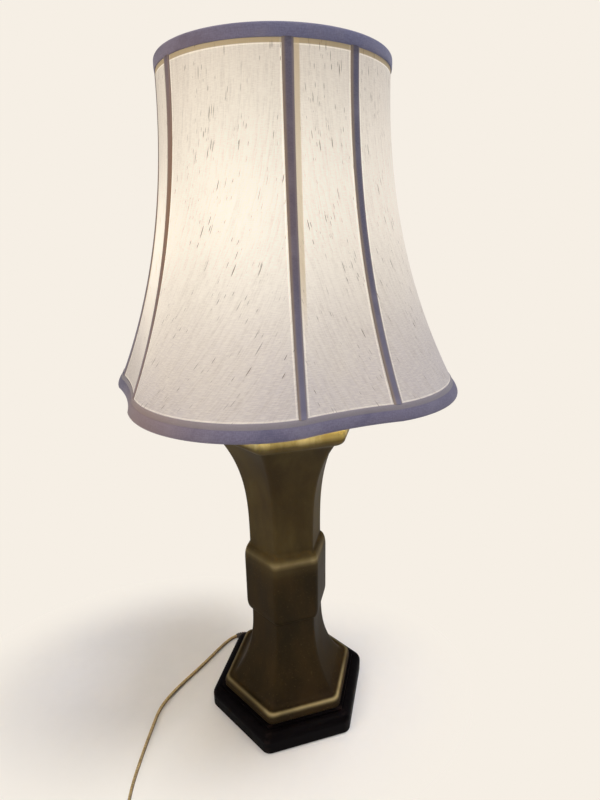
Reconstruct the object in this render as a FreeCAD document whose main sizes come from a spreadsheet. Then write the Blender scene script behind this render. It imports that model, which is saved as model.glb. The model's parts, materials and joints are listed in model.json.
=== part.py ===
"""Column table lamp: a hexagonal glazed column on a wooden plinth, with a harp and a bell shade.

Frame: millimetres, +Z up, origin at the middle of the underside, one flat of the hexagon towards -Y.
"""
import FreeCAD, Part
import math
import os
import Sketcher

V = FreeCAD.Vector
UP = V(0, 0, 1)

# Driving dimensions: name, value in millimetres or degrees, what it is
SIZES = [
    ("felt_thickness", 2.0, "felt sheet under the plinth"),
    ("felt_margin", 4.0, "felt stands back from the plinth's corners"),
    ("plinth_circumradius", 99.5, "wooden plinth, centre to corner"),
    ("plinth_top", 27.3, "top of the plinth above the table"),
    ("plinth_corner_round", 11.0, "vertical corners of the plinth"),
    ("plinth_edge_round", 8.5, "ovolo round the plinth's upper edge"),
    ("plinth_step_height", 3.0, "raised seat for the ceramic foot"),
    ("plinth_step_margin", 3.5, "seat stands out round the foot"),
    ("plinth_web", 7.0, "wood left above the cavity"),
    ("cavity_radius", 58.0, "turned cavity under the plinth"),
    ("foot_circumradius", 83.7, "outer edge of the ceramic foot"),
    ("foot_edge_height", 3.5, "upright edge of the ceramic foot"),
    ("foot_roll_height", 8.0, "rolled lip above that edge"),
    ("foot_roll_width", 13.0, "from the edge in to the crease of the lip"),
    ("skirt_foot_circumradius", 72.0, "skirt where it leaves the lip"),
    ("skirt_power", 2.7, "how late the skirt sweeps out"),
    ("waist_circumradius", 44.0, "narrowest part under the band"),
    ("waist_level", 134.0, "top of the skirt"),
    ("band_circumradius", 50.0, "raised band round the middle"),
    ("band_height", 58.0, "upright face of the band"),
    ("band_lower_shoulder", 14.0, "rounding under the band"),
    ("band_upper_shoulder", 17.0, "rounding over the band"),
    ("shaft_circumradius", 43.0, "shaft where it leaves the band"),
    ("flare_circumradius", 75.0, "shaft where it meets the top lip"),
    ("flare_power", 3.3, "how late the shaft flares"),
    ("flare_level", 362.0, "underside of the top lip"),
    ("lip_circumradius", 86.0, "outer edge of the top lip"),
    ("rim_level", 381.0, "top of the ceramic"),
    ("rim_width", 9.0, "flat rim round the recessed deck"),
    ("rim_recess", 2.5, "deck below the rim"),
    ("corner_share", 0.12, "corner rounding as a share of the circumradius"),
    ("wall_thickness", 6.0, "ceramic wall"),
    ("deck_thickness", 9.0, "ceramic top"),
    ("pipe_radius", 4.8, "threaded lamp pipe"),
    ("pipe_bore_radius", 3.4, "bore of the lamp pipe"),
    ("pipe_clearance", 0.25, "between the pipe and what it passes through"),
    ("washer_radius", 19.0, "steel washer under the web"),
    ("washer_thickness", 2.0, "steel washer under the web"),
    ("nut_circumradius", 8.1, "hexagon nut, centre to corner"),
    ("nut_height", 4.0, "hexagon nut"),
    ("vase_cap_radius", 31.0, "brass cap on the ceramic deck"),
    ("vase_cap_edge", 1.6, "edge of the brass cap"),
    ("vase_cap_height", 5.0, "middle of the brass cap"),
    ("neck_radius", 7.2, "brass neck"),
    ("neck_bead_radius", 10.5, "bead round the brass neck"),
    ("neck_height", 24.0, "brass neck"),
    ("saddle_half_span", 35.0, "lamp axis to the harp's leg"),
    ("saddle_width", 15.0, "strip that carries the harp"),
    ("saddle_thickness", 1.6, "strip that carries the harp"),
    ("saddle_arm_height", 9.0, "upturned arms of the strip"),
    ("saddle_pin_height", 7.0, "pins that locate the harp's legs"),
    ("harp_wire_radius", 1.6, "harp wire and its locating pins"),
    ("harp_half_width", 62.0, "widest part of the harp"),
    ("harp_height", 279.0, "saddle's underside to the shade's seat"),
    ("ferrule_radius", 3.2, "sliding collar on the harp's leg"),
    ("ferrule_height", 12.0, "sliding collar on the harp's leg"),
    ("sliding_clearance", 0.08, "between the wire and the sliding collar"),
    ("stud_boss_radius", 5.5, "boss on the harp's top wire"),
    ("stud_boss_depth", 9.5, "boss on the harp's top wire"),
    ("stud_radius", 3.17, "threaded stud of the harp"),
    ("stud_height", 13.0, "threaded stud of the harp"),
    ("thread_clearance", 0.06, "between a thread and its hole"),
    ("resting_gap", 0.1, "between pieces that rest on each other and turn"),
    ("hub_radius", 11.0, "washer in the middle of the shade's spider"),
    ("hub_thickness", 2.0, "washer in the middle of the shade's spider"),
    ("hub_hole_clearance", 0.1, "between the stud and the washer"),
    ("finial_radius", 7.5, "base of the finial"),
    ("finial_height", 27.0, "whole finial"),
    ("finial_thread_depth", 11.5, "blind thread in the finial"),
    ("shade_height", 285.0, "top edge to bottom edge of the fabric"),
    ("shade_drop", 13.0, "spider washer below the top edge"),
    ("shade_top_radius", 102.0, "round top of the shade"),
    ("shade_rib_radius", 165.5, "bottom of the shade at its ribs"),
    ("shade_bell_power", 2.15, "how late the bell sweeps out"),
    ("shade_turn", -37.9, "first wide panel's direction"),
    ("wide_panel_angle", 59.4, "angle that a wide panel spans"),
    ("wide_panel_bulge", 34.0, "wide panel beyond its bottom chord"),
    ("narrow_panel_dish", 3.5, "narrow panel inside its bottom chord"),
    ("fabric_thickness", 1.0, "outer fabric on its backing"),
    ("seam_gap", 0.3, "between the panels behind a rib tape"),
    ("wire_radius", 1.3, "ribs and bottom wire of the shade"),
    ("ring_wire_radius", 1.6, "top ring and arms of the shade"),
    ("wire_inset", 3.0, "fabric face to the middle of a wire"),
    ("lining_inset", 5.0, "fabric face to the lining"),
    ("lining_thickness", 0.6, "lining"),
    ("trim_lift", 0.15, "trims stand clear of the fabric"),
    ("trim_thickness", 0.9, "bound trims and rib tapes"),
    ("top_trim_width", 8.5, "bound trim round the top"),
    ("bottom_trim_width", 12.5, "bound trim round the bottom"),
    ("trim_overhang", 0.8, "trims reach past the fabric's edges"),
    ("tape_width", 8.6, "tape over each rib"),
    ("socket_cap_radius", 17.0, "brass cap under the lamp holder"),
    ("socket_cap_height", 18.0, "brass cap under the lamp holder"),
    ("socket_wall", 0.8, "brass of the lamp holder"),
    ("socket_shell_top", 53.0, "top of the lamp holder above the saddle"),
    ("socket_body_radius", 14.3, "insulating body of the lamp holder"),
    ("socket_body_bottom", 9.0, "insulating body above the saddle"),
    ("socket_body_top", 30.0, "insulating body above the saddle"),
    ("screw_shell_radius", 13.4, "inside of the threaded shell"),
    ("screw_shell_wall", 0.5, "threaded shell"),
    ("contact_height", 2.0, "centre contact"),
    ("knob_level", 20.5, "switch axis above the saddle"),
    ("knob_radius", 6.5, "turn knob"),
    ("knob_length", 13.0, "turn knob"),
    ("knob_reach", 22.0, "lamp axis to the knob's inner face"),
    ("knob_stem_radius", 2.0, "stem of the turn knob"),
    ("knob_stem_depth", 8.0, "lamp axis to the stem's inner end"),
    ("bulb_base_radius", 12.9, "screw base of the bulb"),
    ("bulb_base_height", 24.5, "screw base of the bulb"),
    ("bulb_radius", 30.0, "globe of the bulb"),
    ("bulb_length", 106.0, "whole bulb"),
    ("bulb_neck_radius", 12.6, "glass where it leaves the base"),
    ("bulb_glass", 1.0, "glass of the bulb"),
    ("cord_radius", 2.75, "twin flex as one round tube"),
    ("cord_clearance", 0.25, "between the cord and its bushing"),
    ("channel_width", 9.0, "channel for the cord through the plinth's rim"),
    ("channel_height", 9.0, "channel for the cord above the felt"),
    ("channel_reach", 60.0, "length of the channel cutter inside the rim"),
    ("bushing_length", 16.0, "sleeve round the cord"),
    ("bushing_proud", 4.0, "sleeve outside the rim"),
    ("coil_turns_per_layer", 3, "whole turns in the lower layer"),
    ("coil_outer_radius", 42.0, "middle of the outermost turn"),
    ("coil_pitch", 6.1, "turn to turn and layer to layer"),
    ("plug_length", 34.0, "moulded plug"),
    ("plug_width", 25.0, "moulded plug"),
    ("plug_thickness", 13.0, "moulded plug"),
    ("blade_length", 17.0, "plug blades"),
    ("blade_width", 6.3, "plug blades"),
    ("blade_thickness", 1.5, "plug blades"),
    ("blade_spacing", 12.7, "plug blades, middle to middle"),
]

doc = FreeCAD.newDocument("column_table_lamp")
sheet = doc.addObject("Spreadsheet::Sheet", "sizes")
for row, (alias, value, note) in enumerate(SIZES, start=1):
    sheet.set(f"A{row}", note)
    sheet.set(f"B{row}", str(value))
    sheet.setAlias(f"B{row}", alias)
levels = doc.addObject("App::VarSet", "levels")
doc.recompute()
nodes = []


def size(alias):
    """A driving dimension, as a number."""
    return float(sheet.get(alias))


def derive(name, expression):
    """Adds a level or radius that follows from the driving dimensions."""
    levels.addProperty("App::PropertyFloat", name)
    levels.setExpression(name, expression)


derive("web_level", "sizes.plinth_top - sizes.plinth_web")
derive("nut_level", "levels.web_level - sizes.washer_thickness - sizes.nut_height")
derive("pipe_hole", "sizes.pipe_radius + sizes.pipe_clearance")
derive("deck", "sizes.rim_level - sizes.rim_recess")
derive("cap_top", "levels.deck + sizes.vase_cap_height")
derive("neck_top", "levels.cap_top + sizes.neck_height")
derive("saddle_top", "levels.neck_top + sizes.saddle_thickness")
derive("arm_top", "levels.neck_top + sizes.saddle_arm_height")
derive("pin_top", "levels.arm_top + sizes.saddle_pin_height")
derive("seat", "levels.neck_top + sizes.harp_height")
derive("hub_bottom", "levels.seat + sizes.resting_gap")
derive("hub_top", "levels.hub_bottom + sizes.hub_thickness")
derive("shade_top", "levels.hub_top + sizes.shade_drop")
derive("shade_bottom", "levels.shade_top - sizes.shade_height")
derive("finial_bottom", "levels.hub_top + sizes.resting_gap")
derive("stud_hole", "sizes.stud_radius + sizes.thread_clearance")
derive("shell_radius", "sizes.socket_cap_radius - sizes.socket_wall - 0.2")
derive("shell_bottom", "levels.saddle_top + 13")
derive("shell_top", "levels.saddle_top + sizes.socket_shell_top")
derive("body_bottom", "levels.saddle_top + sizes.socket_body_bottom")
derive("body_top", "levels.saddle_top + sizes.socket_body_top")
derive("knob_axis", "levels.saddle_top + sizes.knob_level")
derive("bulb_bottom", "levels.body_top + sizes.contact_height + 3 * sizes.resting_gap")
derive("glass_bottom", "levels.bulb_bottom + sizes.bulb_base_height")
derive("bulb_top", "levels.bulb_bottom + sizes.bulb_length")
doc.recompute()


def level(name):
    """A derived level or radius, as a number."""
    return float(getattr(levels, name))


def polar(radius, degrees, height=0.0):
    """A point at a radius and an angle from +X."""
    angle = math.radians(degrees)
    return V(radius * math.cos(angle), radius * math.sin(angle), height)


# Ways to make a piece

def keep(made, name):
    """Gives a finished piece its name and puts it on the list of nodes."""
    made.Label = name
    nodes.append(made)
    return made


def feature(name, shape):
    """A piece whose shape is worked out here from the sheet's sizes."""
    made = doc.addObject("Part::Feature", name)
    made.Shape = shape
    return keep(made, name)


def origin_plane(body, role):
    """One of a body's own origin planes."""
    return next(item for item in body.Origin.OriginFeatures if item.Role == role)


def polygon_sketch(body, name, role, corners):
    """A closed sketch whose corners are pairs of expressions."""
    sketch = body.newObject("Sketcher::SketchObject", name)
    sketch.AttachmentSupport = (origin_plane(body, role), "")
    sketch.MapMode = "FlatFace"
    count = len(corners)
    start = [polar(10.0, 360.0 * k / count) for k in range(count)]
    for k in range(count):
        sketch.addGeometry(Part.LineSegment(start[k], start[(k + 1) % count]))
    for k in range(count):
        sketch.addConstraint(Sketcher.Constraint("Coincident", k, 2, (k + 1) % count, 1))
    for k, (across, along) in enumerate(corners):
        first = sketch.addConstraint(Sketcher.Constraint("DistanceX", -1, 1, k, 1, start[k].x))
        second = sketch.addConstraint(Sketcher.Constraint("DistanceY", -1, 1, k, 1, start[k].y))
        sketch.setExpression(f"Constraints[{first}]", across)
        sketch.setExpression(f"Constraints[{second}]", along)
    return sketch


def turned(name, corners):
    """A body turned about Z; each corner is a radius and a height, as expressions."""
    body = doc.addObject("PartDesign::Body", name)
    sketch = polygon_sketch(body, name + "_profile", "XZ_Plane", corners)
    turn = body.newObject("PartDesign::Revolution", name + "_turn")
    turn.Profile = sketch
    turn.ReferenceAxis = (sketch, ["V_Axis"])
    turn.Angle = 360
    return body


def cylinder(name, radius, height, bottom):
    """An upright cylinder bound to expressions."""
    made = doc.addObject("Part::Cylinder", name)
    made.setExpression("Radius", radius)
    made.setExpression("Height", height)
    made.setExpression(".Placement.Base.z", bottom)
    return made


def cut(name, base, tool):
    """One object less another."""
    made = doc.addObject("Part::Cut", name)
    made.Base = base
    made.Tool = tool
    return made


def ring(name, outer, inner, height, bottom):
    """A plain upright ring bound to expressions."""
    outside = cylinder(name + "_outside", outer, height, bottom)
    inside = cylinder(name + "_inside", inner, height, bottom)
    return cut(name, outside, inside)


def arc_middle(start, apex, end):
    """Middle of the arc that touches start-apex at start and apex-end at end."""
    foot = (start + end) * 0.5
    rise = apex - foot
    half_chord = (end - start).Length * 0.5
    turn = math.atan2(rise.Length, half_chord)
    return foot + rise * (half_chord * math.tan(turn / 2) / rise.Length)


def arc_edge(start, apex, end):
    """That arc as an edge."""
    return Part.Arc(start, arc_middle(start, apex, end), end).toShape()


def rounded_path(points, fixed=None):
    """Straight runs joined by tangent arcs, and the radii of the arcs.

    Each arc takes 0.45 of the shorter of its two runs, unless its radius is given in fixed.
    """
    edges = []
    radii = []
    last = points[0]
    for k in range(1, len(points) - 1):
        before = points[k - 1] - points[k]
        after = points[k + 1] - points[k]
        half_turn = (math.pi - before.getAngle(after)) / 2
        setback = 0.45 * min(before.Length, after.Length)
        if fixed and k in fixed:
            setback = fixed[k] * math.tan(half_turn)
        start = points[k] + before.normalize() * setback
        end = points[k] + after.normalize() * setback
        edges.append(Part.LineSegment(last, start).toShape())
        edges.append(arc_edge(start, points[k], end))
        radii.append(setback / math.tan(half_turn))
        last = end
    edges.append(Part.LineSegment(last, points[-1]).toShape())
    return Part.Wire(edges), radii


def biarc(start, start_way, end, end_way):
    """Two arcs from one point and direction to another, joined where they touch."""
    gap = end - start
    ways = start_way + end_way
    square = 2 * (1 - start_way.dot(end_way))
    along = gap.dot(ways)
    if abs(square) < 1e-9:
        reach = gap.dot(gap) / (2 * along)
    else:
        reach = (-along + math.sqrt(along * along + square * gap.dot(gap))) / square
    first_apex = start + start_way * reach
    second_apex = end - end_way * reach
    joint = (first_apex + second_apex) * 0.5
    return [arc_edge(start, first_apex, joint), arc_edge(joint, second_apex, end)]


def tube(path, radius, sides=6):
    """A solid along a wire, with a section of this many sides, one corner pointing down."""
    first = path.OrderedEdges[0]
    start = first.valueAt(first.FirstParameter)
    way = first.tangentAt(first.FirstParameter)
    across = way.cross(UP) if abs(way.z) < 0.9 else V(0, 1, 0)
    across.normalize()
    above = across.cross(way)
    corners = []
    for k in range(sides):
        angle = math.radians(90 + 360 * k / sides)
        corners.append(start + across * (radius * math.cos(angle)) + above * (radius * math.sin(angle)))
    section = Part.makePolygon(corners + [corners[0]])
    return path.makePipeShell([section], True, False)


def section_area(radius, sides=6):
    """Area of that section."""
    return sides / 2 * radius ** 2 * math.sin(2 * math.pi / sides)


def loft(wires):
    """A solid through closed wires, straight from each to the next."""
    return Part.makeLoft(wires, True, True)


# Plinth and its felt

def hexagon_corners(circumradius):
    """Corners of a hexagon with two of them on the X axis, as expressions."""
    return [(f"({circumradius}) * cos({60 * k} deg)", f"({circumradius}) * sin({60 * k} deg)")
            for k in range(6)]


def channel_axis():
    """Where the cord's channel leaves the plinth's back face, and its direction outwards."""
    face = size("plinth_circumradius") * math.cos(math.radians(30))
    middle = size("felt_thickness") + size("channel_height") / 2
    turned_left = math.radians(50)
    return V(-28, face, middle), V(-math.sin(turned_left), math.cos(turned_left), 0)


def make_plinth():
    """Hexagonal plinth with rounded corners and top edge, a raised seat, a cavity and a cord channel."""
    body = doc.addObject("PartDesign::Body", "plinth_body")
    outline = polygon_sketch(body, "plinth_outline", "XY_Plane", hexagon_corners("sizes.plinth_circumradius"))
    outline.setExpression(".AttachmentOffset.Base.z", "sizes.felt_thickness")
    block = body.newObject("PartDesign::Pad", "plinth_block")
    block.Profile = outline
    block.setExpression("Length", "sizes.plinth_top - sizes.felt_thickness - sizes.plinth_step_height")
    doc.recompute()
    upright = [f"Edge{n}" for n, edge in enumerate(block.Shape.Edges, start=1)
               if abs(edge.tangentAt(edge.FirstParameter).z) > 0.9]
    corners = body.newObject("PartDesign::Fillet", "plinth_corners")
    corners.Base = (block, upright)
    corners.setExpression("Radius", "sizes.plinth_corner_round")
    doc.recompute()
    top = corners.Shape.BoundBox.ZMax
    upper = [f"Edge{n}" for n, edge in enumerate(corners.Shape.Edges, start=1)
             if edge.BoundBox.ZMin > top - 0.01]
    ovolo = body.newObject("PartDesign::Fillet", "plinth_ovolo")
    ovolo.Base = (corners, upper)
    ovolo.setExpression("Radius", "sizes.plinth_edge_round")
    doc.recompute()
    seat_outline = polygon_sketch(body, "seat_outline", "XY_Plane",
                                  hexagon_corners("sizes.foot_circumradius + sizes.plinth_step_margin"))
    seat_outline.setExpression(".AttachmentOffset.Base.z", "sizes.plinth_top")
    seat = body.newObject("PartDesign::Pad", "plinth_seat")
    seat.Profile = seat_outline
    seat.Reversed = True
    seat.setExpression("Length", "sizes.plinth_step_height + 1")
    doc.recompute()
    solid = doc.addObject("Part::Cut", "plinth_cavity_cut")
    solid.Base = body
    solid.Tool = cylinder("plinth_cavity", "sizes.cavity_radius",
                          "levels.web_level - sizes.felt_thickness", "sizes.felt_thickness")
    drilled = cut("plinth_pipe_cut", solid,
                  cylinder("plinth_pipe_hole", "levels.pipe_hole", "sizes.plinth_top", "0"))
    exit_point, way = channel_axis()
    slot = doc.addObject("Part::Box", "plinth_channel")
    slot.setExpression("Length", "sizes.channel_reach + 30")
    slot.setExpression("Width", "sizes.channel_width")
    slot.setExpression("Height", "sizes.channel_height")
    side = UP.cross(way)
    corner = exit_point - way * size("channel_reach") - side * (size("channel_width") / 2)
    corner.z = size("felt_thickness")
    turn = math.degrees(math.atan2(way.y, way.x))
    slot.Placement = FreeCAD.Placement(corner, FreeCAD.Rotation(UP, turn))
    keep(cut("plinth_routed", drilled, slot), "plinth")


def make_base_felt():
    """Felt sheet that the lamp stands on."""
    felt = doc.addObject("Part::Prism", "felt")
    felt.Polygon = 6
    felt.setExpression("Circumradius", "sizes.plinth_circumradius - sizes.felt_margin")
    felt.setExpression("Height", "sizes.felt_thickness")
    keep(felt, "base_felt")


# Ceramic column

def hexagon(circumradius, height):
    """Closed wire of a hexagon with rounded corners, two of them on the X axis."""
    rounding = circumradius * size("corner_share")
    found = []
    for k in range(6):
        centre = polar(circumradius - rounding / math.cos(math.radians(30)), 60 * k, height)
        found += [centre + polar(rounding, 60 * k + turn) for turn in (-30, -10, 10, 30)]
    return Part.makePolygon(found + [found[0]])


def hexagon_loft(section_list):
    """A solid through hexagons given as circumradius and height."""
    return loft([hexagon(radius, height) for radius, height in section_list])


def skirt_sections(count, inset=0.0):
    """The skirt sweeps from the waist out to the foot's lip."""
    low = size("plinth_top") + size("foot_edge_height") + size("foot_roll_height")
    high = size("waist_level")
    growth = size("skirt_foot_circumradius") - size("waist_circumradius")
    found = []
    for k in range(count + 1):
        share = 1 - k / count
        radius = size("waist_circumradius") + growth * share ** size("skirt_power")
        found.append((radius - inset, high - (high - low) * share))
    return found


def shaft_sections(count, inset=0.0):
    """The shaft flares from the band up to the top lip."""
    low = size("waist_level") + size("band_lower_shoulder") + size("band_height")
    low = low + size("band_upper_shoulder")
    high = size("flare_level")
    growth = size("flare_circumradius") - size("shaft_circumradius")
    found = []
    for k in range(count + 1):
        share = k / count
        radius = size("shaft_circumradius") + growth * share ** size("flare_power")
        found.append((radius - inset, low + (high - low) * share))
    return found


def shoulder_sections(inner, outer, inner_level, outer_level, count=3):
    """A rounded shoulder: a quarter ellipse from an inner radius out to an outer one."""
    found = []
    for k in range(count + 1):
        angle = math.radians(90 * k / count)
        radius = inner + (outer - inner) * math.sin(angle)
        found.append((radius, inner_level + (outer_level - inner_level) * (1 - math.cos(angle))))
    return found


def rolled_lip(radius, width, low, high, count=5):
    """Half of a rounded lip: out of its upright edge, over the crest and down to the crease."""
    found = []
    for k in range(count + 1):
        angle = math.radians(110 * k / count)
        found.append((radius - width / 2 * (1 - math.cos(angle)), low + (high - low) * math.sin(angle)))
    return found


def ceramic_outside():
    """Foot, skirt, band, shaft and top lip as one solid."""
    bottom = size("plinth_top")
    foot = size("foot_circumradius")
    edge_top = bottom + size("foot_edge_height")
    roll_top = edge_top + size("foot_roll_height")
    band = size("band_circumradius")
    band_bottom = size("waist_level") + size("band_lower_shoulder")
    band_top = band_bottom + size("band_height")
    shaft_bottom = band_top + size("band_upper_shoulder")
    lip = size("lip_circumradius")
    lip_low = size("flare_level")
    lip_top = size("rim_level")
    lip_under = lip_low + 0.45 * (lip_top - lip_low)
    lip_over = lip_top - 0.25 * (lip_top - lip_low)
    sections = [(foot, bottom)]
    sections += rolled_lip(foot, size("foot_roll_width"), edge_top, roll_top)
    sections += skirt_sections(10)
    sections += shoulder_sections(size("waist_circumradius"), band, size("waist_level"), band_bottom)[1:]
    sections += shoulder_sections(size("shaft_circumradius"), band, shaft_bottom, band_top)[::-1]
    sections += shaft_sections(10)[1:]
    sections += shoulder_sections(size("flare_circumradius"), lip, lip_low, lip_under)[1:]
    sections += shoulder_sections(lip - 4, lip, lip_top, lip_over)[::-1]
    return hexagon_loft(sections)


def make_ceramic_column():
    """Glazed column: hollow, open under the foot, with a recessed deck on top."""
    inset = size("wall_thickness") / math.cos(math.radians(30))
    top = size("rim_level")
    under_deck = level("deck") - size("deck_thickness")
    skirt = skirt_sections(5, inset)
    shaft = [section for section in shaft_sections(5, inset) if section[1] < under_deck - 8]
    foot_radius = size("foot_circumradius") - 2 * inset
    hollow = [(foot_radius, size("plinth_top")), (foot_radius - 2, skirt[0][1] - 6)] + skirt[1:]
    hollow += shaft + [(shaft[-1][0] + 8, under_deck)]
    inside_rim = size("lip_circumradius") - size("rim_width")
    recess = hexagon_loft([(inside_rim, level("deck")), (inside_rim, top + 1)])
    hole = Part.makeCylinder(level("pipe_hole") + 1, top, V(0, 0, 0))
    body = ceramic_outside().cut(hexagon_loft(hollow)).cut(recess).cut(hole)
    feature("ceramic_column", body)


# Pipe, washer, nut, cap and neck

def make_pipe_and_fixings():
    """The pipe clamps plinth, ceramic, cap and neck between the nut and the lamp holder."""
    keep(ring("lamp_pipe_ring", "sizes.pipe_radius", "sizes.pipe_bore_radius",
              "levels.body_bottom - 0.5 - levels.nut_level", "levels.nut_level"), "lamp_pipe")
    keep(ring("washer_ring", "sizes.washer_radius", "levels.pipe_hole", "sizes.washer_thickness",
              "levels.nut_level + sizes.nut_height"), "base_washer")
    nut = doc.addObject("Part::Prism", "nut_block")
    nut.Polygon = 6
    nut.setExpression("Circumradius", "sizes.nut_circumradius")
    nut.setExpression("Height", "sizes.nut_height")
    nut.setExpression(".Placement.Base.z", "levels.nut_level")
    hole = cylinder("nut_hole", "sizes.pipe_radius + 0.05", "sizes.nut_height", "levels.nut_level")
    keep(cut("nut_cut", nut, hole), "base_nut")


def make_cap_and_neck():
    """Brass cap on the deck and the beaded neck above it."""
    cap = turned("vase_cap_body", [
        ("levels.pipe_hole", "levels.deck"),
        ("sizes.vase_cap_radius", "levels.deck"),
        ("sizes.vase_cap_radius", "levels.deck + sizes.vase_cap_edge"),
        ("sizes.vase_cap_radius * 0.72", "levels.deck + sizes.vase_cap_height * 0.68"),
        ("sizes.vase_cap_radius * 0.4", "levels.cap_top"),
        ("levels.pipe_hole", "levels.cap_top"),
    ])
    keep(cap, "vase_cap")
    neck = turned("neck_body", [
        ("levels.pipe_hole", "levels.cap_top"),
        ("sizes.neck_bead_radius", "levels.cap_top"),
        ("sizes.neck_bead_radius", "levels.cap_top + 2"),
        ("sizes.neck_radius", "levels.cap_top + 4"),
        ("sizes.neck_radius", "levels.cap_top + sizes.neck_height * 0.4"),
        ("sizes.neck_bead_radius - 0.8", "levels.cap_top + sizes.neck_height * 0.45"),
        ("sizes.neck_bead_radius - 0.8", "levels.cap_top + sizes.neck_height * 0.55"),
        ("sizes.neck_radius", "levels.cap_top + sizes.neck_height * 0.6"),
        ("sizes.neck_radius", "levels.neck_top - 3"),
        ("sizes.neck_bead_radius - 1.5", "levels.neck_top - 1.5"),
        ("sizes.neck_bead_radius - 1.5", "levels.neck_top"),
        ("levels.pipe_hole", "levels.neck_top"),
    ])
    keep(neck, "neck")


# Harp with its saddle, ferrules, stud and finial

def make_harp_saddle():
    """Strip bent up at both ends, with a pin on each end for the harp's legs."""
    reach = size("saddle_half_span")
    thick = size("saddle_thickness")
    low = level("neck_top")
    high = level("arm_top")
    bend = 2.5 * thick
    width = size("saddle_width")
    outer_turn = reach + thick / 2
    inner_turn = reach - thick / 2
    outline = [V(-outer_turn, 0, high), V(-outer_turn, 0, low), V(outer_turn, 0, low), V(outer_turn, 0, high)]
    inside = [V(inner_turn, 0, high), V(inner_turn, 0, low + thick), V(-inner_turn, 0, low + thick),
              V(-inner_turn, 0, high)]
    outer_wire, _ = rounded_path(outline, {1: bend, 2: bend})
    inner_wire, _ = rounded_path(inside, {1: bend - thick, 2: bend - thick})
    ends = [Part.LineSegment(outline[-1], inside[0]).toShape(),
            Part.LineSegment(inside[-1], outline[0]).toShape()]
    profile = Part.Wire(outer_wire.Edges + [ends[0]] + inner_wire.Edges + [ends[1]])
    strip = Part.Face(profile).extrude(V(0, width, 0))
    strip.translate(V(0, -width / 2, 0))
    sink = thick / 4
    pins = [Part.makeCylinder(size("harp_wire_radius"), size("saddle_pin_height") + sink,
                              V(side * reach, 0, high - sink)) for side in (-1, 1)]
    hole = Part.makeCylinder(level("pipe_hole"), 3 * thick, V(0, 0, low - thick))
    feature("harp_saddle", strip.multiFuse(pins).cut(hole).removeSplitter())


def harp_points():
    """Route of the harp's wire: up one leg, over the top and down the other."""
    leg = size("saddle_half_span")
    wide = size("harp_half_width")
    low = level("pin_top") + size("resting_gap")
    top = level("seat") - size("stud_boss_depth") / 2
    rise = top - low
    left = [V(-leg, 0, low), V(-leg, 0, low + 48), V(-wide, 0, low + 0.36 * rise),
            V(-wide, 0, low + 0.68 * rise), V(-0.68 * wide, 0, low + 0.91 * rise),
            V(-0.34 * wide, 0, top)]
    right = [V(-point.x, 0, point.z) for point in reversed(left)]
    return left + right


def make_harp():
    """Wire bow, and the boss with the threaded stud that its top wire runs through."""
    path, _ = rounded_path(harp_points())
    feature("harp_bow", tube(path, size("harp_wire_radius"), 8))
    boss = cylinder("stud_boss", "sizes.stud_boss_radius", "sizes.stud_boss_depth",
                    "levels.seat - sizes.stud_boss_depth")
    stud = cylinder("stud_thread", "sizes.stud_radius", "sizes.stud_height + 1", "levels.seat - 1")
    joined = doc.addObject("Part::Fuse", "stud_joined")
    joined.Base = boss
    joined.Tool = stud
    cross = doc.addObject("Part::Cylinder", "stud_cross_hole")
    cross.setExpression("Radius", "sizes.harp_wire_radius + sizes.thread_clearance")
    cross.setExpression("Height", "2 * sizes.stud_boss_radius + 2")
    cross.Placement = FreeCAD.Placement(V(0, 0, 0), FreeCAD.Rotation(V(0, 1, 0), 90))
    cross.setExpression(".Placement.Base.x", "-sizes.stud_boss_radius - 1")
    cross.setExpression(".Placement.Base.z", "levels.seat - sizes.stud_boss_depth / 2")
    keep(cut("stud_cut", joined, cross), "harp_stud")


def make_ferrules():
    """A collar on each leg locks it to the saddle and slides up to free it."""
    for side, word in ((-1, "left"), (1, "right")):
        collar = ring(f"ferrule_{word}_ring", "sizes.ferrule_radius",
                      "sizes.harp_wire_radius + sizes.sliding_clearance", "sizes.ferrule_height",
                      "levels.arm_top + sizes.resting_gap")
        for solid in (collar.Base, collar.Tool):
            solid.setExpression(".Placement.Base.x", f"{side} * sizes.saddle_half_span")
        keep(collar, f"harp_ferrule_{word}")


def along_arc(start, apex, end, count):
    """Evenly spaced points on an arc through three, without its start."""
    arc = Part.Arc(start, apex, end).toShape()
    reach = arc.LastParameter - arc.FirstParameter
    return [arc.valueAt(arc.FirstParameter + reach * (k + 1) / count) for k in range(count)]


def spun(profile):
    """A solid turned about Z from a closed profile in the XZ plane."""
    return Part.Face(Part.makePolygon(profile + [profile[0]])).revolve(V(0, 0, 0), UP, 360)


def make_finial():
    """Turned brass finial, a flange, a neck, an urn and a button, with a blind thread for the stud."""
    low = level("finial_bottom")
    radius = size("finial_radius")
    tall = size("finial_height")
    hole = level("stud_hole")
    ceiling = low + size("finial_thread_depth")

    def at(across, up):
        return V(across * radius, 0, low + up * tall)

    profile = [V(0, 0, ceiling), V(hole, 0, ceiling), V(hole, 0, low), at(0.82, 0.0)]
    profile += along_arc(at(0.82, 0.0), at(1.0, 0.07), at(0.82, 0.14), 2)
    profile += along_arc(at(0.82, 0.14), at(0.50, 0.24), at(0.62, 0.34), 2)
    profile += along_arc(at(0.62, 0.34), at(0.95, 0.56), at(0.50, 0.80), 4)
    profile += along_arc(at(0.50, 0.80), at(0.32, 0.88), at(0.20, 1.0), 2)
    feature("finial", spun(profile + [V(0, 0, low + tall)]))


# Shade

def bell(part):
    """How far the bell has swept out at a share of the way down."""
    return part ** size("shade_bell_power")


def shade_height_at(part):
    """Height at a share of the way down the shade."""
    return level("shade_top") - part * size("shade_height")


def rib_radius(part):
    """Radius of the shade at its ribs."""
    return size("shade_top_radius") + (size("shade_rib_radius") - size("shade_top_radius")) * bell(part)


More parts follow.
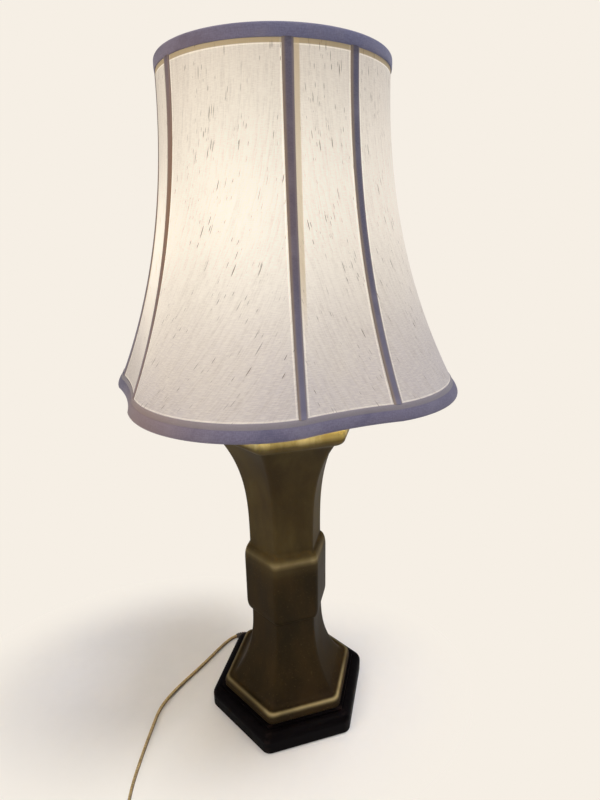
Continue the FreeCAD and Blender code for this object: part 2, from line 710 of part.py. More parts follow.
def lobe_span(lobe):
    """Middle direction and half angle of a panel; even ones are wide, odd ones narrow."""
    wide = size("wide_panel_angle")
    span = wide if lobe % 2 == 0 else 90 - wide
    return size("shade_turn") + 45 * lobe, span / 2


def lobe_bulge(part, lobe):
    """How far a panel's middle stands beyond its chord: a circle at the top, scalloped below."""
    _, half = lobe_span(lobe)
    round_top = size("shade_top_radius") * (1 - math.cos(math.radians(half)))
    below = size("wide_panel_bulge") if lobe % 2 == 0 else -size("narrow_panel_dish")
    return round_top + (below - round_top) * bell(part)


def lobe_points(part, lobe, offset, seam=0.0, height=None):
    """Start, middle and end of a panel's line at a share of the way down."""
    direction, half = lobe_span(lobe)
    height = shade_height_at(part) if height is None else height
    radius = rib_radius(part)
    back = math.degrees(seam / (2 * radius))
    middle = radius * math.cos(math.radians(half)) + lobe_bulge(part, lobe) + offset
    return [polar(radius + offset, direction - half + back, height), polar(middle, direction, height),
            polar(radius + offset, direction + half - back, height)]


def lobe_arc(part, lobe, offset, seam=0.0, height=None):
    """That line as an edge."""
    return Part.Arc(*lobe_points(part, lobe, offset, seam, height)).toShape()


def lobe_line(part, lobe, offset, seam=0.0, height=None):
    """Points along that line, rib to rib, close enough for stiff cloth."""
    start, middle, end = lobe_points(part, lobe, offset, seam, height)
    chord_middle = (start + end) * 0.5
    half_chord = (end - start) * 0.5
    rise = middle - chord_middle
    turn = max(2 * math.atan2(rise.Length, half_chord.Length), 0.001)
    steps = 10 if lobe % 2 == 0 else 5
    found = []
    for k in range(steps + 1):
        angle = turn * (2 * k / steps - 1)
        out = (math.cos(angle) - math.cos(turn)) / (1 - math.cos(turn))
        found.append(chord_middle + half_chord * (math.sin(angle) / math.sin(turn)) + rise * out)
    return found


def walk(points, distance):
    """The point this far along a row of points."""
    for here, there in zip(points, points[1:]):
        step = (there - here).Length
        if distance <= step:
            return here + (there - here) * (distance / step)
        distance -= step
    return points[-1]


def shade_parts():
    """Shares of the way down at which every cloth piece of the shade has a line."""
    top_part = size("top_trim_width") / size("shade_height")
    low_part = 1 - size("bottom_trim_width") / size("shade_height")
    return [0.0, top_part] + [k / 9 for k in range(1, 9)] + [low_part, 1.0]


def shade_outline(part, offset, height=None):
    """Closed outline of the shade at a share of the way down."""
    found = []
    for lobe in range(8):
        found += lobe_line(part, lobe, offset, 0.0, height)[:-1]
    return Part.makePolygon(found + [found[0]])


def shade_band(offset, thickness, parts, heights=None):
    """A closed band that follows the shade between two or more levels."""
    heights = heights or [shade_height_at(part) for part in parts]
    outer = loft([shade_outline(part, offset, tall) for part, tall in zip(parts, heights)])
    inner = loft([shade_outline(part, offset - thickness, tall) for part, tall in zip(parts, heights)])
    return outer.cut(inner)


def make_panels():
    """Four wide bulging panels and four narrow dished ones."""
    thick = size("fabric_thickness")
    seam = size("seam_gap")
    for lobe in range(8):
        sections = []
        for part in shade_parts():
            loop = lobe_line(part, lobe, 0.0, seam) + lobe_line(part, lobe, -thick, seam)[::-1]
            sections.append(Part.makePolygon(loop + [loop[0]]))
        kind = "wide" if lobe % 2 == 0 else "narrow"
        feature(f"shade_panel_{kind}_{lobe // 2 + 1}", loft(sections))


def make_lining():
    """Thin lining that hides the wires from below."""
    start = (2 * size("ring_wire_radius") + 2.0) / size("shade_height")
    end = 1 - 1.5 / size("shade_height")
    parts = [start] + shade_parts()[2:-2] + [end]
    feature("shade_lining", shade_band(-size("lining_inset"), size("lining_thickness"), parts))


def rib_angles():
    """Directions of the eight ribs."""
    return [lobe_span(lobe)[0] + lobe_span(lobe)[1] for lobe in range(8)]


def rib_point(part, direction, offset):
    """A point on a rib, and the rib's direction there, going down."""
    radius = rib_radius(part) + offset
    growth = (size("shade_rib_radius") - size("shade_top_radius")) * size("shade_bell_power")
    slope = growth * part ** (size("shade_bell_power") - 1)
    here = polar(radius, direction, shade_height_at(part))
    way = polar(slope, direction, -size("shade_height")).normalize()
    return here, way


def make_rib_wires():
    """A wire behind each seam, from the top ring to the bottom wire."""
    start = (2 * size("ring_wire_radius") + 1.0) / size("shade_height")
    end = 1 - 1.0 / size("shade_height")
    parts = [start + (end - start) * k / 4 for k in range(5)]
    wires = []
    for direction in rib_angles():
        found = [rib_point(part, direction, -size("wire_inset")) for part in parts]
        edges = []
        for (here, way), (there, onward) in zip(found, found[1:]):
            edges.extend(biarc(here, way, there, onward))
        wires.append(tube(Part.Wire(edges), size("wire_radius"), 8))
    feature("shade_rib_wires", Part.Compound(wires))


def make_bottom_wire():
    """Bottom wire in eight bent lengths, each ending at its two ribs."""
    height = level("shade_bottom") + size("wire_radius") + 1.0
    part = 1 - (height - level("shade_bottom")) / size("shade_height")
    wires = []
    for lobe in range(8):
        stand_off = size("wire_radius") + 0.45
        whole = lobe_arc(part, lobe, -size("wire_inset"))
        ends = [whole.getParameterByLength(length)
                for length in (stand_off, whole.Length / 2, whole.Length - stand_off)]
        edge = Part.Arc(*[whole.valueAt(place) for place in ends]).toShape()
        wires.append(tube(Part.Wire([edge]), size("wire_radius")))
    feature("shade_bottom_wire", Part.Compound(wires))


def make_spider():
    """Washer that sits on the harp, and the top ring with four arms that reach in and down to it."""
    thick = size("ring_wire_radius")
    ring_radius = size("shade_top_radius") - size("wire_inset")
    ring_level = level("shade_top") - thick - 0.3
    keep(ring("hub_ring", "sizes.hub_radius", "sizes.stud_radius + sizes.hub_hole_clearance",
              "sizes.hub_thickness", "levels.hub_bottom"), "shade_hub")
    turns = [[polar(ring_radius, 90 * k + turn, ring_level) for turn in (0, 45, 90)] for k in range(4)]
    parts = [tube(Part.Wire([Part.Arc(*turn).toShape() for turn in turns]), thick)]
    arm_level = level("hub_top") - thick
    for direction in rib_angles()[0::2]:
        arm = [polar(size("hub_radius") + size("resting_gap"), direction, arm_level),
               polar(0.55 * ring_radius, direction, arm_level), polar(ring_radius, direction, ring_level)]
        path, _ = rounded_path(arm)
        parts.append(tube(path, thick))
    feature("shade_spider", parts[0].multiFuse(parts[1:]))


def make_trims():
    """Bound trims round the top and the scalloped bottom."""
    outer = size("trim_lift") + size("trim_thickness")
    reach = size("trim_overhang") / size("shade_height")
    top_part = size("top_trim_width") / size("shade_height")
    low_part = 1 - size("bottom_trim_width") / size("shade_height")
    top = level("shade_top") + size("trim_overhang")
    feature("shade_top_trim", shade_band(outer, size("trim_thickness"), [0.0, top_part],
                                         [top, shade_height_at(top_part)]))
    feature("shade_bottom_trim", shade_band(outer, size("trim_thickness"), [low_part, 1 + reach]))


def tape_section(part, lobe, inner, outer):
    """Closed section of the tape over the rib that follows a panel."""
    following = (lobe + 1) % 8
    half = size("tape_width") / 2
    lines = []
    for offset in (outer, inner):
        before = lobe_line(part, lobe, offset)[::-1]
        after = lobe_line(part, following, offset)
        lines.append([walk(before, half), after[0], walk(after, half)])
    loop = lines[0] + lines[1][::-1]
    return Part.makePolygon(loop + [loop[0]])


def make_rib_tapes():
    """A tape over each seam, between the two trims."""
    inner = size("trim_lift")
    outer = inner + size("trim_thickness")
    start = (size("top_trim_width") + 0.2) / size("shade_height")
    end = 1 - (size("bottom_trim_width") + 0.2) / size("shade_height")
    parts = [start] + shade_parts()[2:-2] + [end]
    tapes = []
    for lobe in range(8):
        tapes.append(loft([tape_section(part, lobe, inner, outer) for part in parts]))
    feature("shade_rib_tapes", Part.Compound(tapes))


# Lamp holder, switch and bulb

def make_lamp_holder():
    """Cap, shell, insulating sleeve and body, threaded shell and centre contact."""
    low = "levels.saddle_top"
    cap = turned("socket_cap_body", [
        ("levels.pipe_hole", low),
        ("sizes.socket_cap_radius * 0.58", low),
        ("sizes.socket_cap_radius * 0.9", f"{low} + 6"),
        ("sizes.socket_cap_radius", f"{low} + 12"),
        ("sizes.socket_cap_radius", f"{low} + sizes.socket_cap_height"),
        ("sizes.socket_cap_radius - sizes.socket_wall", f"{low} + sizes.socket_cap_height"),
        ("sizes.socket_cap_radius - sizes.socket_wall", f"{low} + 12.2"),
        ("sizes.socket_cap_radius * 0.9 - sizes.socket_wall", f"{low} + 6.5"),
        ("sizes.socket_cap_radius * 0.56", f"{low} + sizes.socket_wall"),
        ("sizes.pipe_radius + 2", f"{low} + sizes.socket_wall"),
        ("sizes.pipe_radius + 2", f"{low} + 8"),
        ("levels.pipe_hole", f"{low} + 8"),
    ])
    keep(cap, "socket_cap")
    shell = turned("socket_shell_body", [
        ("levels.shell_radius - sizes.socket_wall", "levels.shell_bottom"),
        ("levels.shell_radius", "levels.shell_bottom"),
        ("levels.shell_radius", "levels.shell_top - 3"),
        ("levels.shell_radius + 0.9", "levels.shell_top - 2"),
        ("levels.shell_radius + 0.9", "levels.shell_top"),
        ("levels.shell_radius", "levels.shell_top"),
        ("levels.shell_radius - sizes.socket_wall", "levels.shell_top - 2"),
    ])
    sleeve = ring("socket_sleeve_ring", "levels.shell_radius - sizes.socket_wall - 0.1",
                  "sizes.socket_body_radius + 0.1", "sizes.socket_shell_top - 17", "levels.shell_bottom + 1")
    stem_ways = []
    for word in ("shell", "sleeve"):
        hole = doc.addObject("Part::Cylinder", f"socket_{word}_hole")
        hole.setExpression("Radius", "sizes.knob_stem_radius + 0.6")
        hole.setExpression("Height", "2 * sizes.socket_cap_radius")
        hole.Placement = FreeCAD.Placement(V(0, 0, 0), FreeCAD.Rotation(V(1, 0, 0), 90))
        hole.setExpression(".Placement.Base.z", "levels.knob_axis")
        stem_ways.append(hole)
    keep(cut("socket_shell_cut", shell, stem_ways[0]), "socket_shell")
    keep(cut("socket_sleeve_cut", sleeve, stem_ways[1]), "socket_sleeve")
    block = cylinder("socket_body_block", "sizes.socket_body_radius",
                     "sizes.socket_body_top - sizes.socket_body_bottom", "levels.body_bottom")
    bore = doc.addObject("Part::Cylinder", "socket_body_bore")
    bore.setExpression("Radius", "sizes.knob_stem_radius + sizes.thread_clearance")
    bore.setExpression("Height", "2 * sizes.socket_cap_radius")
    bore.Placement = FreeCAD.Placement(V(0, 0, 0), FreeCAD.Rotation(V(1, 0, 0), 90))
    bore.setExpression(".Placement.Base.y", "-sizes.knob_stem_depth")
    bore.setExpression(".Placement.Base.z", "levels.knob_axis")
    keep(cut("socket_body_cut", block, bore), "socket_body")
    keep(ring("screw_shell_ring", "sizes.screw_shell_radius + sizes.screw_shell_wall",
              "sizes.screw_shell_radius", "sizes.socket_shell_top - sizes.socket_body_top - 3",
              "levels.body_top"), "screw_shell")
    keep(cylinder("contact_disc", "sizes.bulb_base_radius * 0.35", "sizes.contact_height",
                  "levels.body_top"), "centre_contact")


def make_switch():
    """Fluted turn knob and its stem, towards the front of the lamp."""
    axis_level = level("knob_axis")
    reach = size("knob_reach")
    length = size("knob_length")
    radius = size("knob_radius")
    out = V(0, -1, 0)
    start = V(0, -size("knob_stem_depth") - size("resting_gap"), axis_level)
    stem_length = reach + 0.6 * length + start.y
    feature("switch_stem", Part.makeCylinder(size("knob_stem_radius"), stem_length, start, out))
    knob = Part.makeCone(0.86 * radius, radius, length, V(0, -reach, axis_level), out)
    for k in range(10):
        flute = V(1.08 * radius * math.cos(math.radians(36 * k)), -reach - 1,
                  axis_level + 1.08 * radius * math.sin(math.radians(36 * k)))
        knob = knob.cut(Part.makeCylinder(0.14 * radius, length + 2, flute, out))
    bore = Part.makeCylinder(size("knob_stem_radius") + 0.02, 0.6 * length + 0.05,
                             V(0, -reach, axis_level), out)
    feature("switch_knob", knob.cut(bore))


def make_bulb():
    """Screw base and a hollow glass globe that narrows to it."""
    base = turned("bulb_base_body", [
        ("0", "levels.bulb_bottom"),
        ("sizes.bulb_base_radius * 0.36", "levels.bulb_bottom"),
        ("sizes.bulb_base_radius * 0.42", "levels.bulb_bottom + 1.6"),
        ("sizes.bulb_base_radius * 0.95", "levels.bulb_bottom + 4.6"),
        ("sizes.bulb_base_radius", "levels.bulb_bottom + 6"),
        ("sizes.bulb_base_radius", "levels.glass_bottom"),
        ("0", "levels.glass_bottom"),
    ])
    keep(base, "bulb_base")
    low = level("glass_bottom")
    middle = level("bulb_top") - size("bulb_radius")
    straight = 6.0
    rise = middle - low - straight
    neck = size("bulb_neck_radius")
    round_radius = size("bulb_radius")
    flare = (neck ** 2 + rise ** 2 - round_radius ** 2) / (2 * (round_radius - neck))
    flare_centre = V(neck + flare, 0, low + straight)
    globe_centre = V(0, 0, middle)
    between = (flare_centre - globe_centre).normalize()
    flare_turn = math.atan2(-between.z, -between.x)
    tilt = math.asin(between.z)

    def glass(inset, count):
        found = [V(neck - inset, 0, low + inset)]
        for k in range(count + 1):
            angle = math.pi - k / count * (math.pi - flare_turn)
            found.append(flare_centre + V(math.cos(angle), 0, math.sin(angle)) * (flare + inset))
        for k in range(1, 2 * count + 1):
            angle = tilt + k / (2 * count) * (math.pi / 2 - tilt)
            found.append(globe_centre + V(math.cos(angle), 0, math.sin(angle)) * (round_radius - inset))
        return [V(0, 0, low + inset)] + found

    feature("bulb_glass", spun(glass(0.0, 3)).cut(spun(glass(size("bulb_glass"), 2))))


# Cord, its bushing, its coil and its plug

def lead_points():
    """Route of the free cord, from the bushing round the plinth's corner to the coil."""
    exit_point, way = channel_axis()
    floor = size("cord_radius")
    start = exit_point + way * size("bushing_proud")
    return [start, start + way * 14.0,
            V(-58.0, 99.0, 4.4), V(-77.0, 88.0, floor), V(-104.0, 63.5, floor), V(-142.0, 34.0, floor),
            V(-163.5, 12.0, floor), V(-173.5, -14.0, floor), V(-184.5, -44.0, floor),
            V(-197.5, -84.0, floor), V(-203.0, -126.0, floor), V(-203.0, -165.0, floor)]


def coil_centre():
    """Middle of the coil: its outermost turn starts where the free cord ends."""
    end = lead_points()[-1]
    return V(end.x + size("coil_outer_radius"), end.y, 0)


def half_turn(centre, radius, height, from_degrees, to_degrees):
    """One flat arc of the coil."""
    between = (from_degrees + to_degrees) / 2
    return Part.Arc(centre + polar(radius, from_degrees, height), centre + polar(radius, between, height),
                    centre + polar(radius, to_degrees, height)).toShape()


def coil_path():
    """Spirals in on the floor, climbs one layer and spirals out again, in half turns."""
    centre = coil_centre()
    pitch = size("coil_pitch")
    floor = size("cord_radius")
    upper = floor + pitch
    turns = round(size("coil_turns_per_layer"))
    radius = size("coil_outer_radius")
    straight = 2 * size("cord_radius")
    entry = centre + V(-radius, 0, floor)
    edges = [Part.LineSegment(entry, entry + V(0, -straight, 0)).toShape()]
    centre = centre + V(0, -straight, 0)
    for turn in range(turns):
        edges.append(half_turn(centre, radius, floor, 180, 360))
        radius -= pitch / 2
        edges.append(half_turn(centre + V(pitch / 2, 0, 0), radius, floor, 0, 180))
        radius -= pitch / 2
    lift = V(0, 0, pitch / 2)
    climb = V(1, 0, 2 * pitch / (math.pi * radius)).normalize()
    low = centre + V(-radius, 0, floor)
    bottom = centre + V(0, -radius, floor) + lift
    high = centre + V(radius, 0, upper)
    edges.extend(biarc(low, V(0, -1, 0), bottom, climb))
    edges.extend(biarc(bottom, climb, high, V(0, 1, 0)))
    for turn in range(turns - 1):
        radius += pitch / 2
        edges.append(half_turn(centre - V(pitch / 2, 0, 0), radius, upper, 0, 180))
        radius += pitch / 2
        edges.append(half_turn(centre, radius, upper, 180, 360))
    radius += pitch / 2
    edges.append(half_turn(centre - V(pitch / 2, 0, 0), radius, upper, 0, 180))
    radius += pitch / 2
    edges.append(half_turn(centre, radius, upper, 180, 270))
    leave = centre + V(0, -radius, upper)
    edges.append(Part.LineSegment(leave, leave + V(straight, 0, 0)).toShape())
    return Part.Wire(edges), leave + V(straight, 0, 0)


def least_gap(path, radius):
    """Least gap between turns of a tube, measured on points along its middle line."""
    points = path.discretize(Distance=2.0)
    skip = int(math.pi * size("coil_outer_radius") / 4)
    nearest = min((points[i] - points[j]).Length
                  for i in range(len(points)) for j in range(i + skip, len(points)))
    return nearest - 2 * radius


def tail_points():
    """Last stretch of the cord, down from the coil's upper layer to the plug."""
    _, start = coil_path()
    plug_level = size("plug_thickness") / 2
    return [start, start + V(12, 0, 0), start + V(25, -0.6, (plug_level - start.z) * 0.55),
            V(start.x + 38, start.y - 1.2, plug_level), V(start.x + 50, start.y - 1.2, plug_level)]


def check_tube(name, shape, path):
    """Prints a tube's volume beside its section times its length."""
    expected = section_area(size("cord_radius")) * path.Length
    print(name, "length", round(path.Length, 1), "volume", round(shape.Volume, 1), "expected", round(expected, 1))


def make_cord():
    """Bushing, cord inside the lamp, free cord, coil and tail."""
    radius = size("cord_radius")
    exit_point, way = channel_axis()
    outer_end = exit_point + way * size("bushing_proud")
    sleeve_start = outer_end - way * size("bushing_length")
    sleeve = Part.makeCylinder(size("channel_width") / 2 - 0.15, size("bushing_length"), sleeve_start, way)
    bore = Part.makeCylinder(radius + size("cord_clearance"), size("bushing_length"), sleeve_start, way)
    feature("cord_bushing", sleeve.cut(bore))
    floor = exit_point.z
    inner, inner_radii = rounded_path([
        V(0, 0, level("body_bottom")), V(0, 0, floor), V(10, 24, floor), V(14, 51, floor),
        exit_point - way * 28, outer_end], {1: 8.0})
    lead, lead_radii = rounded_path(lead_points())
    coil, _ = coil_path()
    tail, tail_radii = rounded_path(tail_points())
    print("inner radii", [round(value, 1) for value in inner_radii])
    print("lead radii", [round(value, 1) for value in lead_radii])
    print("tail radii", [round(value, 1) for value in tail_radii])
    print("coil least gap", round(least_gap(coil, radius), 2))
    for name, path in (("cord_inner", inner), ("cord_lead", lead), ("cord_coil", coil), ("cord_tail", tail)):
        shape = tube(path, radius)
        check_tube(name, shape, path)
        feature(name, shape)


def rounded_rectangle(x, width, height, rounding, middle):
    """Closed wire across X with corners rounded in three steps."""
    found = []
    for k, (side, above) in enumerate(((1, 1), (-1, 1), (-1, -1), (1, -1))):
        centre = V(x, middle.y + side * (width / 2 - rounding), middle.z + above * (height / 2 - rounding))
        for step in range(4):
            angle = math.radians(90 * k + 30 * step)
            found.append(centre + V(0, math.cos(angle), math.sin(angle)) * rounding)
    return Part.makePolygon(found + [found[0]])


def make_plug():
    """Moulded two-blade plug at the end of the tail."""
    start = tail_points()[-1]
    length = size("plug_length")
    width = size("plug_width")
    thick = size("plug_thickness")
    neck = 2 * size("cord_radius") + 2.5
    sections = []
    for k in range(8):
        share = k / 7
        swell = math.sin(math.radians(90 * share)) ** 2
        sections.append(rounded_rectangle(start.x + length * share, neck + (width - neck) * swell,
                                          neck + (thick - neck) * swell, 2.5 + swell, start))
    feature("plug_body", loft(sections))
    blades = []
    for side in (-1, 1):
        blade = Part.makeBox(size("blade_length"), size("blade_thickness"), size("blade_width"))
        blade.translate(V(start.x + length, start.y + side * size("blade_spacing") / 2 - size("blade_thickness") / 2,
                          start.z - size("blade_width") / 2))
        blades.append(blade)
    feature("plug_blades", Part.Compound(blades))


make_plinth()
make_base_felt()
make_ceramic_column()
make_pipe_and_fixings()
make_cap_and_neck()
make_harp_saddle()
make_harp()
make_ferrules()
make_finial()
make_spider()
make_rib_wires()
make_bottom_wire()
make_panels()
make_lining()
make_trims()
make_rib_tapes()
make_lamp_holder()
make_switch()
make_bulb()
make_cord()
make_plug()
doc.recompute()

for item in doc.Objects:
    for word in item.State:
        if word in ("Invalid", "Error"):
            raise RuntimeError(f"{item.Label} is in state {word}")
for node in nodes:
    if node.Shape.isNull() or not node.Shape.isValid():
        raise RuntimeError(f"{node.Label} has no valid shape")

os.makedirs("parts", exist_ok=True)
for node in nodes:
    node.Shape.exportStep(f"parts/{node.Label}.step")
    print(node.Label, "solids", len(node.Shape.Solids), "volume", round(node.Shape.Volume, 1))
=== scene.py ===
"""Looks of the column table lamp: camera, cord, shade, glaze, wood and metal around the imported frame."""
import json
import math

import bpy
from mathutils import Matrix, Vector


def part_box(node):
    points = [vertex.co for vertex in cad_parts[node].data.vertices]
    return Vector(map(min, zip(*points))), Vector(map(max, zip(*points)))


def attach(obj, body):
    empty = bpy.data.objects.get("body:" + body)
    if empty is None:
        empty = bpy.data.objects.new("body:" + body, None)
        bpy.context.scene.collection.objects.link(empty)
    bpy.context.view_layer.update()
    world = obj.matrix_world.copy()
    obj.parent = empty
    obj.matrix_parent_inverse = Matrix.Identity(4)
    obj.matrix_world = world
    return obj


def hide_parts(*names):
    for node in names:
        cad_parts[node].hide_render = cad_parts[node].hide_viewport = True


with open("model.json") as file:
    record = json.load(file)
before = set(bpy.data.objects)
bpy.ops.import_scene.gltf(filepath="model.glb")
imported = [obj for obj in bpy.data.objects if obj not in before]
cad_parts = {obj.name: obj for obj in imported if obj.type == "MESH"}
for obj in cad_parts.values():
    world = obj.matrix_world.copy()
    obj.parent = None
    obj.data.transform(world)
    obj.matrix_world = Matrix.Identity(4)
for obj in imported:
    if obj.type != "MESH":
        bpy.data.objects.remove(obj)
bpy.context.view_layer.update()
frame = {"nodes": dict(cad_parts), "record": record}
UP = Vector((0, 0, 1))
SHADE_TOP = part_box("shade_panel_wide_1")[1].z
SHADE_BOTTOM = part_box("shade_panel_wide_1")[0].z
SHADE_HEIGHT = SHADE_TOP - SHADE_BOTTOM
TOP_RADIUS = 0.102
RIB_RADIUS = 0.1655
BELL_POWER = 2.15
SHADE_TURN = -37.9
WIDE_ANGLE = 59.4
WIDE_BULGE = 0.034
NARROW_DISH = 0.0035
TOP_TRIM = 0.0085
BOTTOM_TRIM = 0.0125


def mm(x, y, z):
    """A point given in millimetres."""
    return Vector((x, y, z)) * 0.001


def polar(radius, degrees, height=0.0):
    """A point at a radius and an angle from +X."""
    angle = math.radians(degrees)
    return Vector((radius * math.cos(angle), radius * math.sin(angle), height))


# Materials

def new_material(name, **values):
    """A Principled material with some of its sockets set."""
    made = bpy.data.materials.new(name)
    made.use_nodes = True
    shader = made.node_tree.nodes["Principled BSDF"]
    for key, value in values.items():
        shader.inputs[key.replace("_", " ")].default_value = value
    return made


def add(made, kind, inputs=None, **settings):
    """A node, with its inputs set or linked."""
    found = made.node_tree.nodes.new(kind)
    for key, value in settings.items():
        setattr(found, key, value)
    for key, value in (inputs or {}).items():
        if isinstance(value, bpy.types.NodeSocket):
            made.node_tree.links.new(value, found.inputs[key])
        else:
            found.inputs[key].default_value = value
    return found


def to_shader(made, socket, key):
    """Links a socket to the material's shader."""
    made.node_tree.links.new(socket, made.node_tree.nodes["Principled BSDF"].inputs[key])


def object_point(made):
    """Object coordinates."""
    return add(made, "ShaderNodeTexCoord").outputs["Object"]


def object_space(made, scale=(1, 1, 1)):
    """Object coordinates, stretched."""
    return add(made, "ShaderNodeMapping", {"Vector": object_point(made), "Scale": scale}).outputs[0]


def parts_of(made, vector):
    """The three parts of a vector."""
    return add(made, "ShaderNodeSeparateXYZ", {0: vector}).outputs


def marks_of(made, name):
    """The parts of a UV map."""
    return parts_of(made, add(made, "ShaderNodeUVMap", uv_map=name).outputs[0])


def woven_space(made, scale=(1, 1, 1)):
    """Cloth coordinates: across and along the weave, in metres."""
    where = add(made, "ShaderNodeUVMap", uv_map="weave")
    return add(made, "ShaderNodeMapping", {"Vector": where.outputs[0], "Scale": scale}).outputs[0]


def noise(made, where, scale, detail=2.0, roughness=0.5):
    """Noise from 0 to 1."""
    return add(made, "ShaderNodeTexNoise", {"Vector": where, "Scale": scale, "Detail": detail,
                                            "Roughness": roughness}).outputs["Fac"]


def maths(made, operation, first, second=0.0, third=0.0):
    """One math step."""
    found = add(made, "ShaderNodeMath", {0: first, 1: second, 2: third}, operation=operation)
    return found.outputs[0]


def spread(made, value, low, high, to_low=0.0, to_high=1.0):
    """Maps a value smoothly from one range to another, clamped."""
    found = add(made, "ShaderNodeMapRange", {"Value": value, "From Min": low, "From Max": high,
                                             "To Min": to_low, "To Max": to_high})
    found.interpolation_type = "SMOOTHSTEP"
    return found.outputs[0]


def mix(made, share, first, second):
    """Mixes two colours."""
    found = add(made, "ShaderNodeMix", data_type="RGBA")
    for key, value in (("Factor", share), ("A", first), ("B", second)):
        socket = next(item for item in found.inputs
                      if item.name == key and (item.type == "RGBA" or key == "Factor") and item.enabled)
        if isinstance(value, bpy.types.NodeSocket):
            made.node_tree.links.new(value, socket)
        else:
            socket.default_value = value
    return next(item for item in found.outputs if item.type == "RGBA")


def bump(made, height, distance, strength=1.0):
    """Adds relief to the shader's normal."""
    found = add(made, "ShaderNodeBump", {"Height": height, "Distance": distance, "Strength": strength})
    to_shader(made, found.outputs[0], "Normal")


def srgb(red, green, blue):
    """A linear colour from display values of 0 to 255."""
    def linear(value):
        value = value / 255
        return value / 12.92 if value <= 0.04045 else ((value + 0.055) / 1.055) ** 2.4
    return linear(red), linear(green), linear(blue), 1.0


def seam_map(made):
    """How far a point of a panel is from its first rib, from its second, and from the shade's top edge."""
    seams = marks_of(made, "seam")
    height = parts_of(made, object_point(made))[2]
    return seams[0], seams[1], maths(made, "SUBTRACT", SHADE_TOP, height)


def stripe(made, value, middle, half):
    """One at a middle value, falling to nothing a half width away."""
    return spread(made, maths(made, "ABSOLUTE", maths(made, "SUBTRACT", value, middle)), 0.0, half, 1.0, 0.0)


def glow_spot(made, where, centre, reach):
    """One at a point of the shade, falling to nothing this far away."""
    away = add(made, "ShaderNodeVectorMath", {0: where, 1: centre}, operation="DISTANCE")
    return spread(made, away.outputs["Value"], 0.0, reach, 1.0, 0.0)


def toward_corner(made, where):
    """One on the corners of the lamp's hexagons, and minus one in the middle of their sides."""
    point = parts_of(made, where)
    turn = maths(made, "MULTIPLY", maths(made, "ARCTAN2", point[1], point[0]), 6.0)
    return maths(made, "COSINE", turn)


def slub_marks(made, across, along, rarity):
    """Short thin slubs of uneven length, in loose clusters."""
    cells = add(made, "ShaderNodeTexVoronoi", {"Vector": woven_space(made, (across, along, 1)), "Scale": 1.0},
                voronoi_dimensions="2D")
    lot = add(made, "ShaderNodeSeparateColor", {0: cells.outputs["Color"]})
    cluster = noise(made, woven_space(made, (34, 19, 1)), 1.0, 3.0, 0.6)
    cluster = maths(made, "MULTIPLY_ADD", maths(made, "SUBTRACT", cluster, 0.5), 1.3, lot.outputs[0])
    drop = parts_of(made, woven_space(made))[1]
    chosen = maths(made, "ADD", cluster, spread(made, drop, 0.13, 0.22, 0.0, -0.07))
    reach = maths(made, "MULTIPLY_ADD", lot.outputs[1], 0.16, 0.06)
    close = maths(made, "DIVIDE", cells.outputs["Distance"], reach)
    dark = maths(made, "MULTIPLY_ADD", lot.outputs[2], 0.55, 0.45)
    shown = maths(made, "MULTIPLY", spread(made, close, 0.5, 1.0, 1.0, 0.0),
                  spread(made, chosen, rarity, rarity + 0.16))
    return maths(made, "MULTIPLY", shown, dark)


# Where the lamp glows through the silk: a point, its reach and, at the sides, a strength
FRONT_GLOW = ((-0.062, -0.112, 0.585), 0.16)
SIDE_GLOWS = (
    ((-0.138, 0.000, 0.540), 0.11, 0.40),
    ((-0.132, -0.062, 0.468), 0.07, 0.13),
    ((0.110, -0.070, 0.600), 0.15, 0.21),
    ((0.080, 0.115, 0.575), 0.17, 0.25),
)


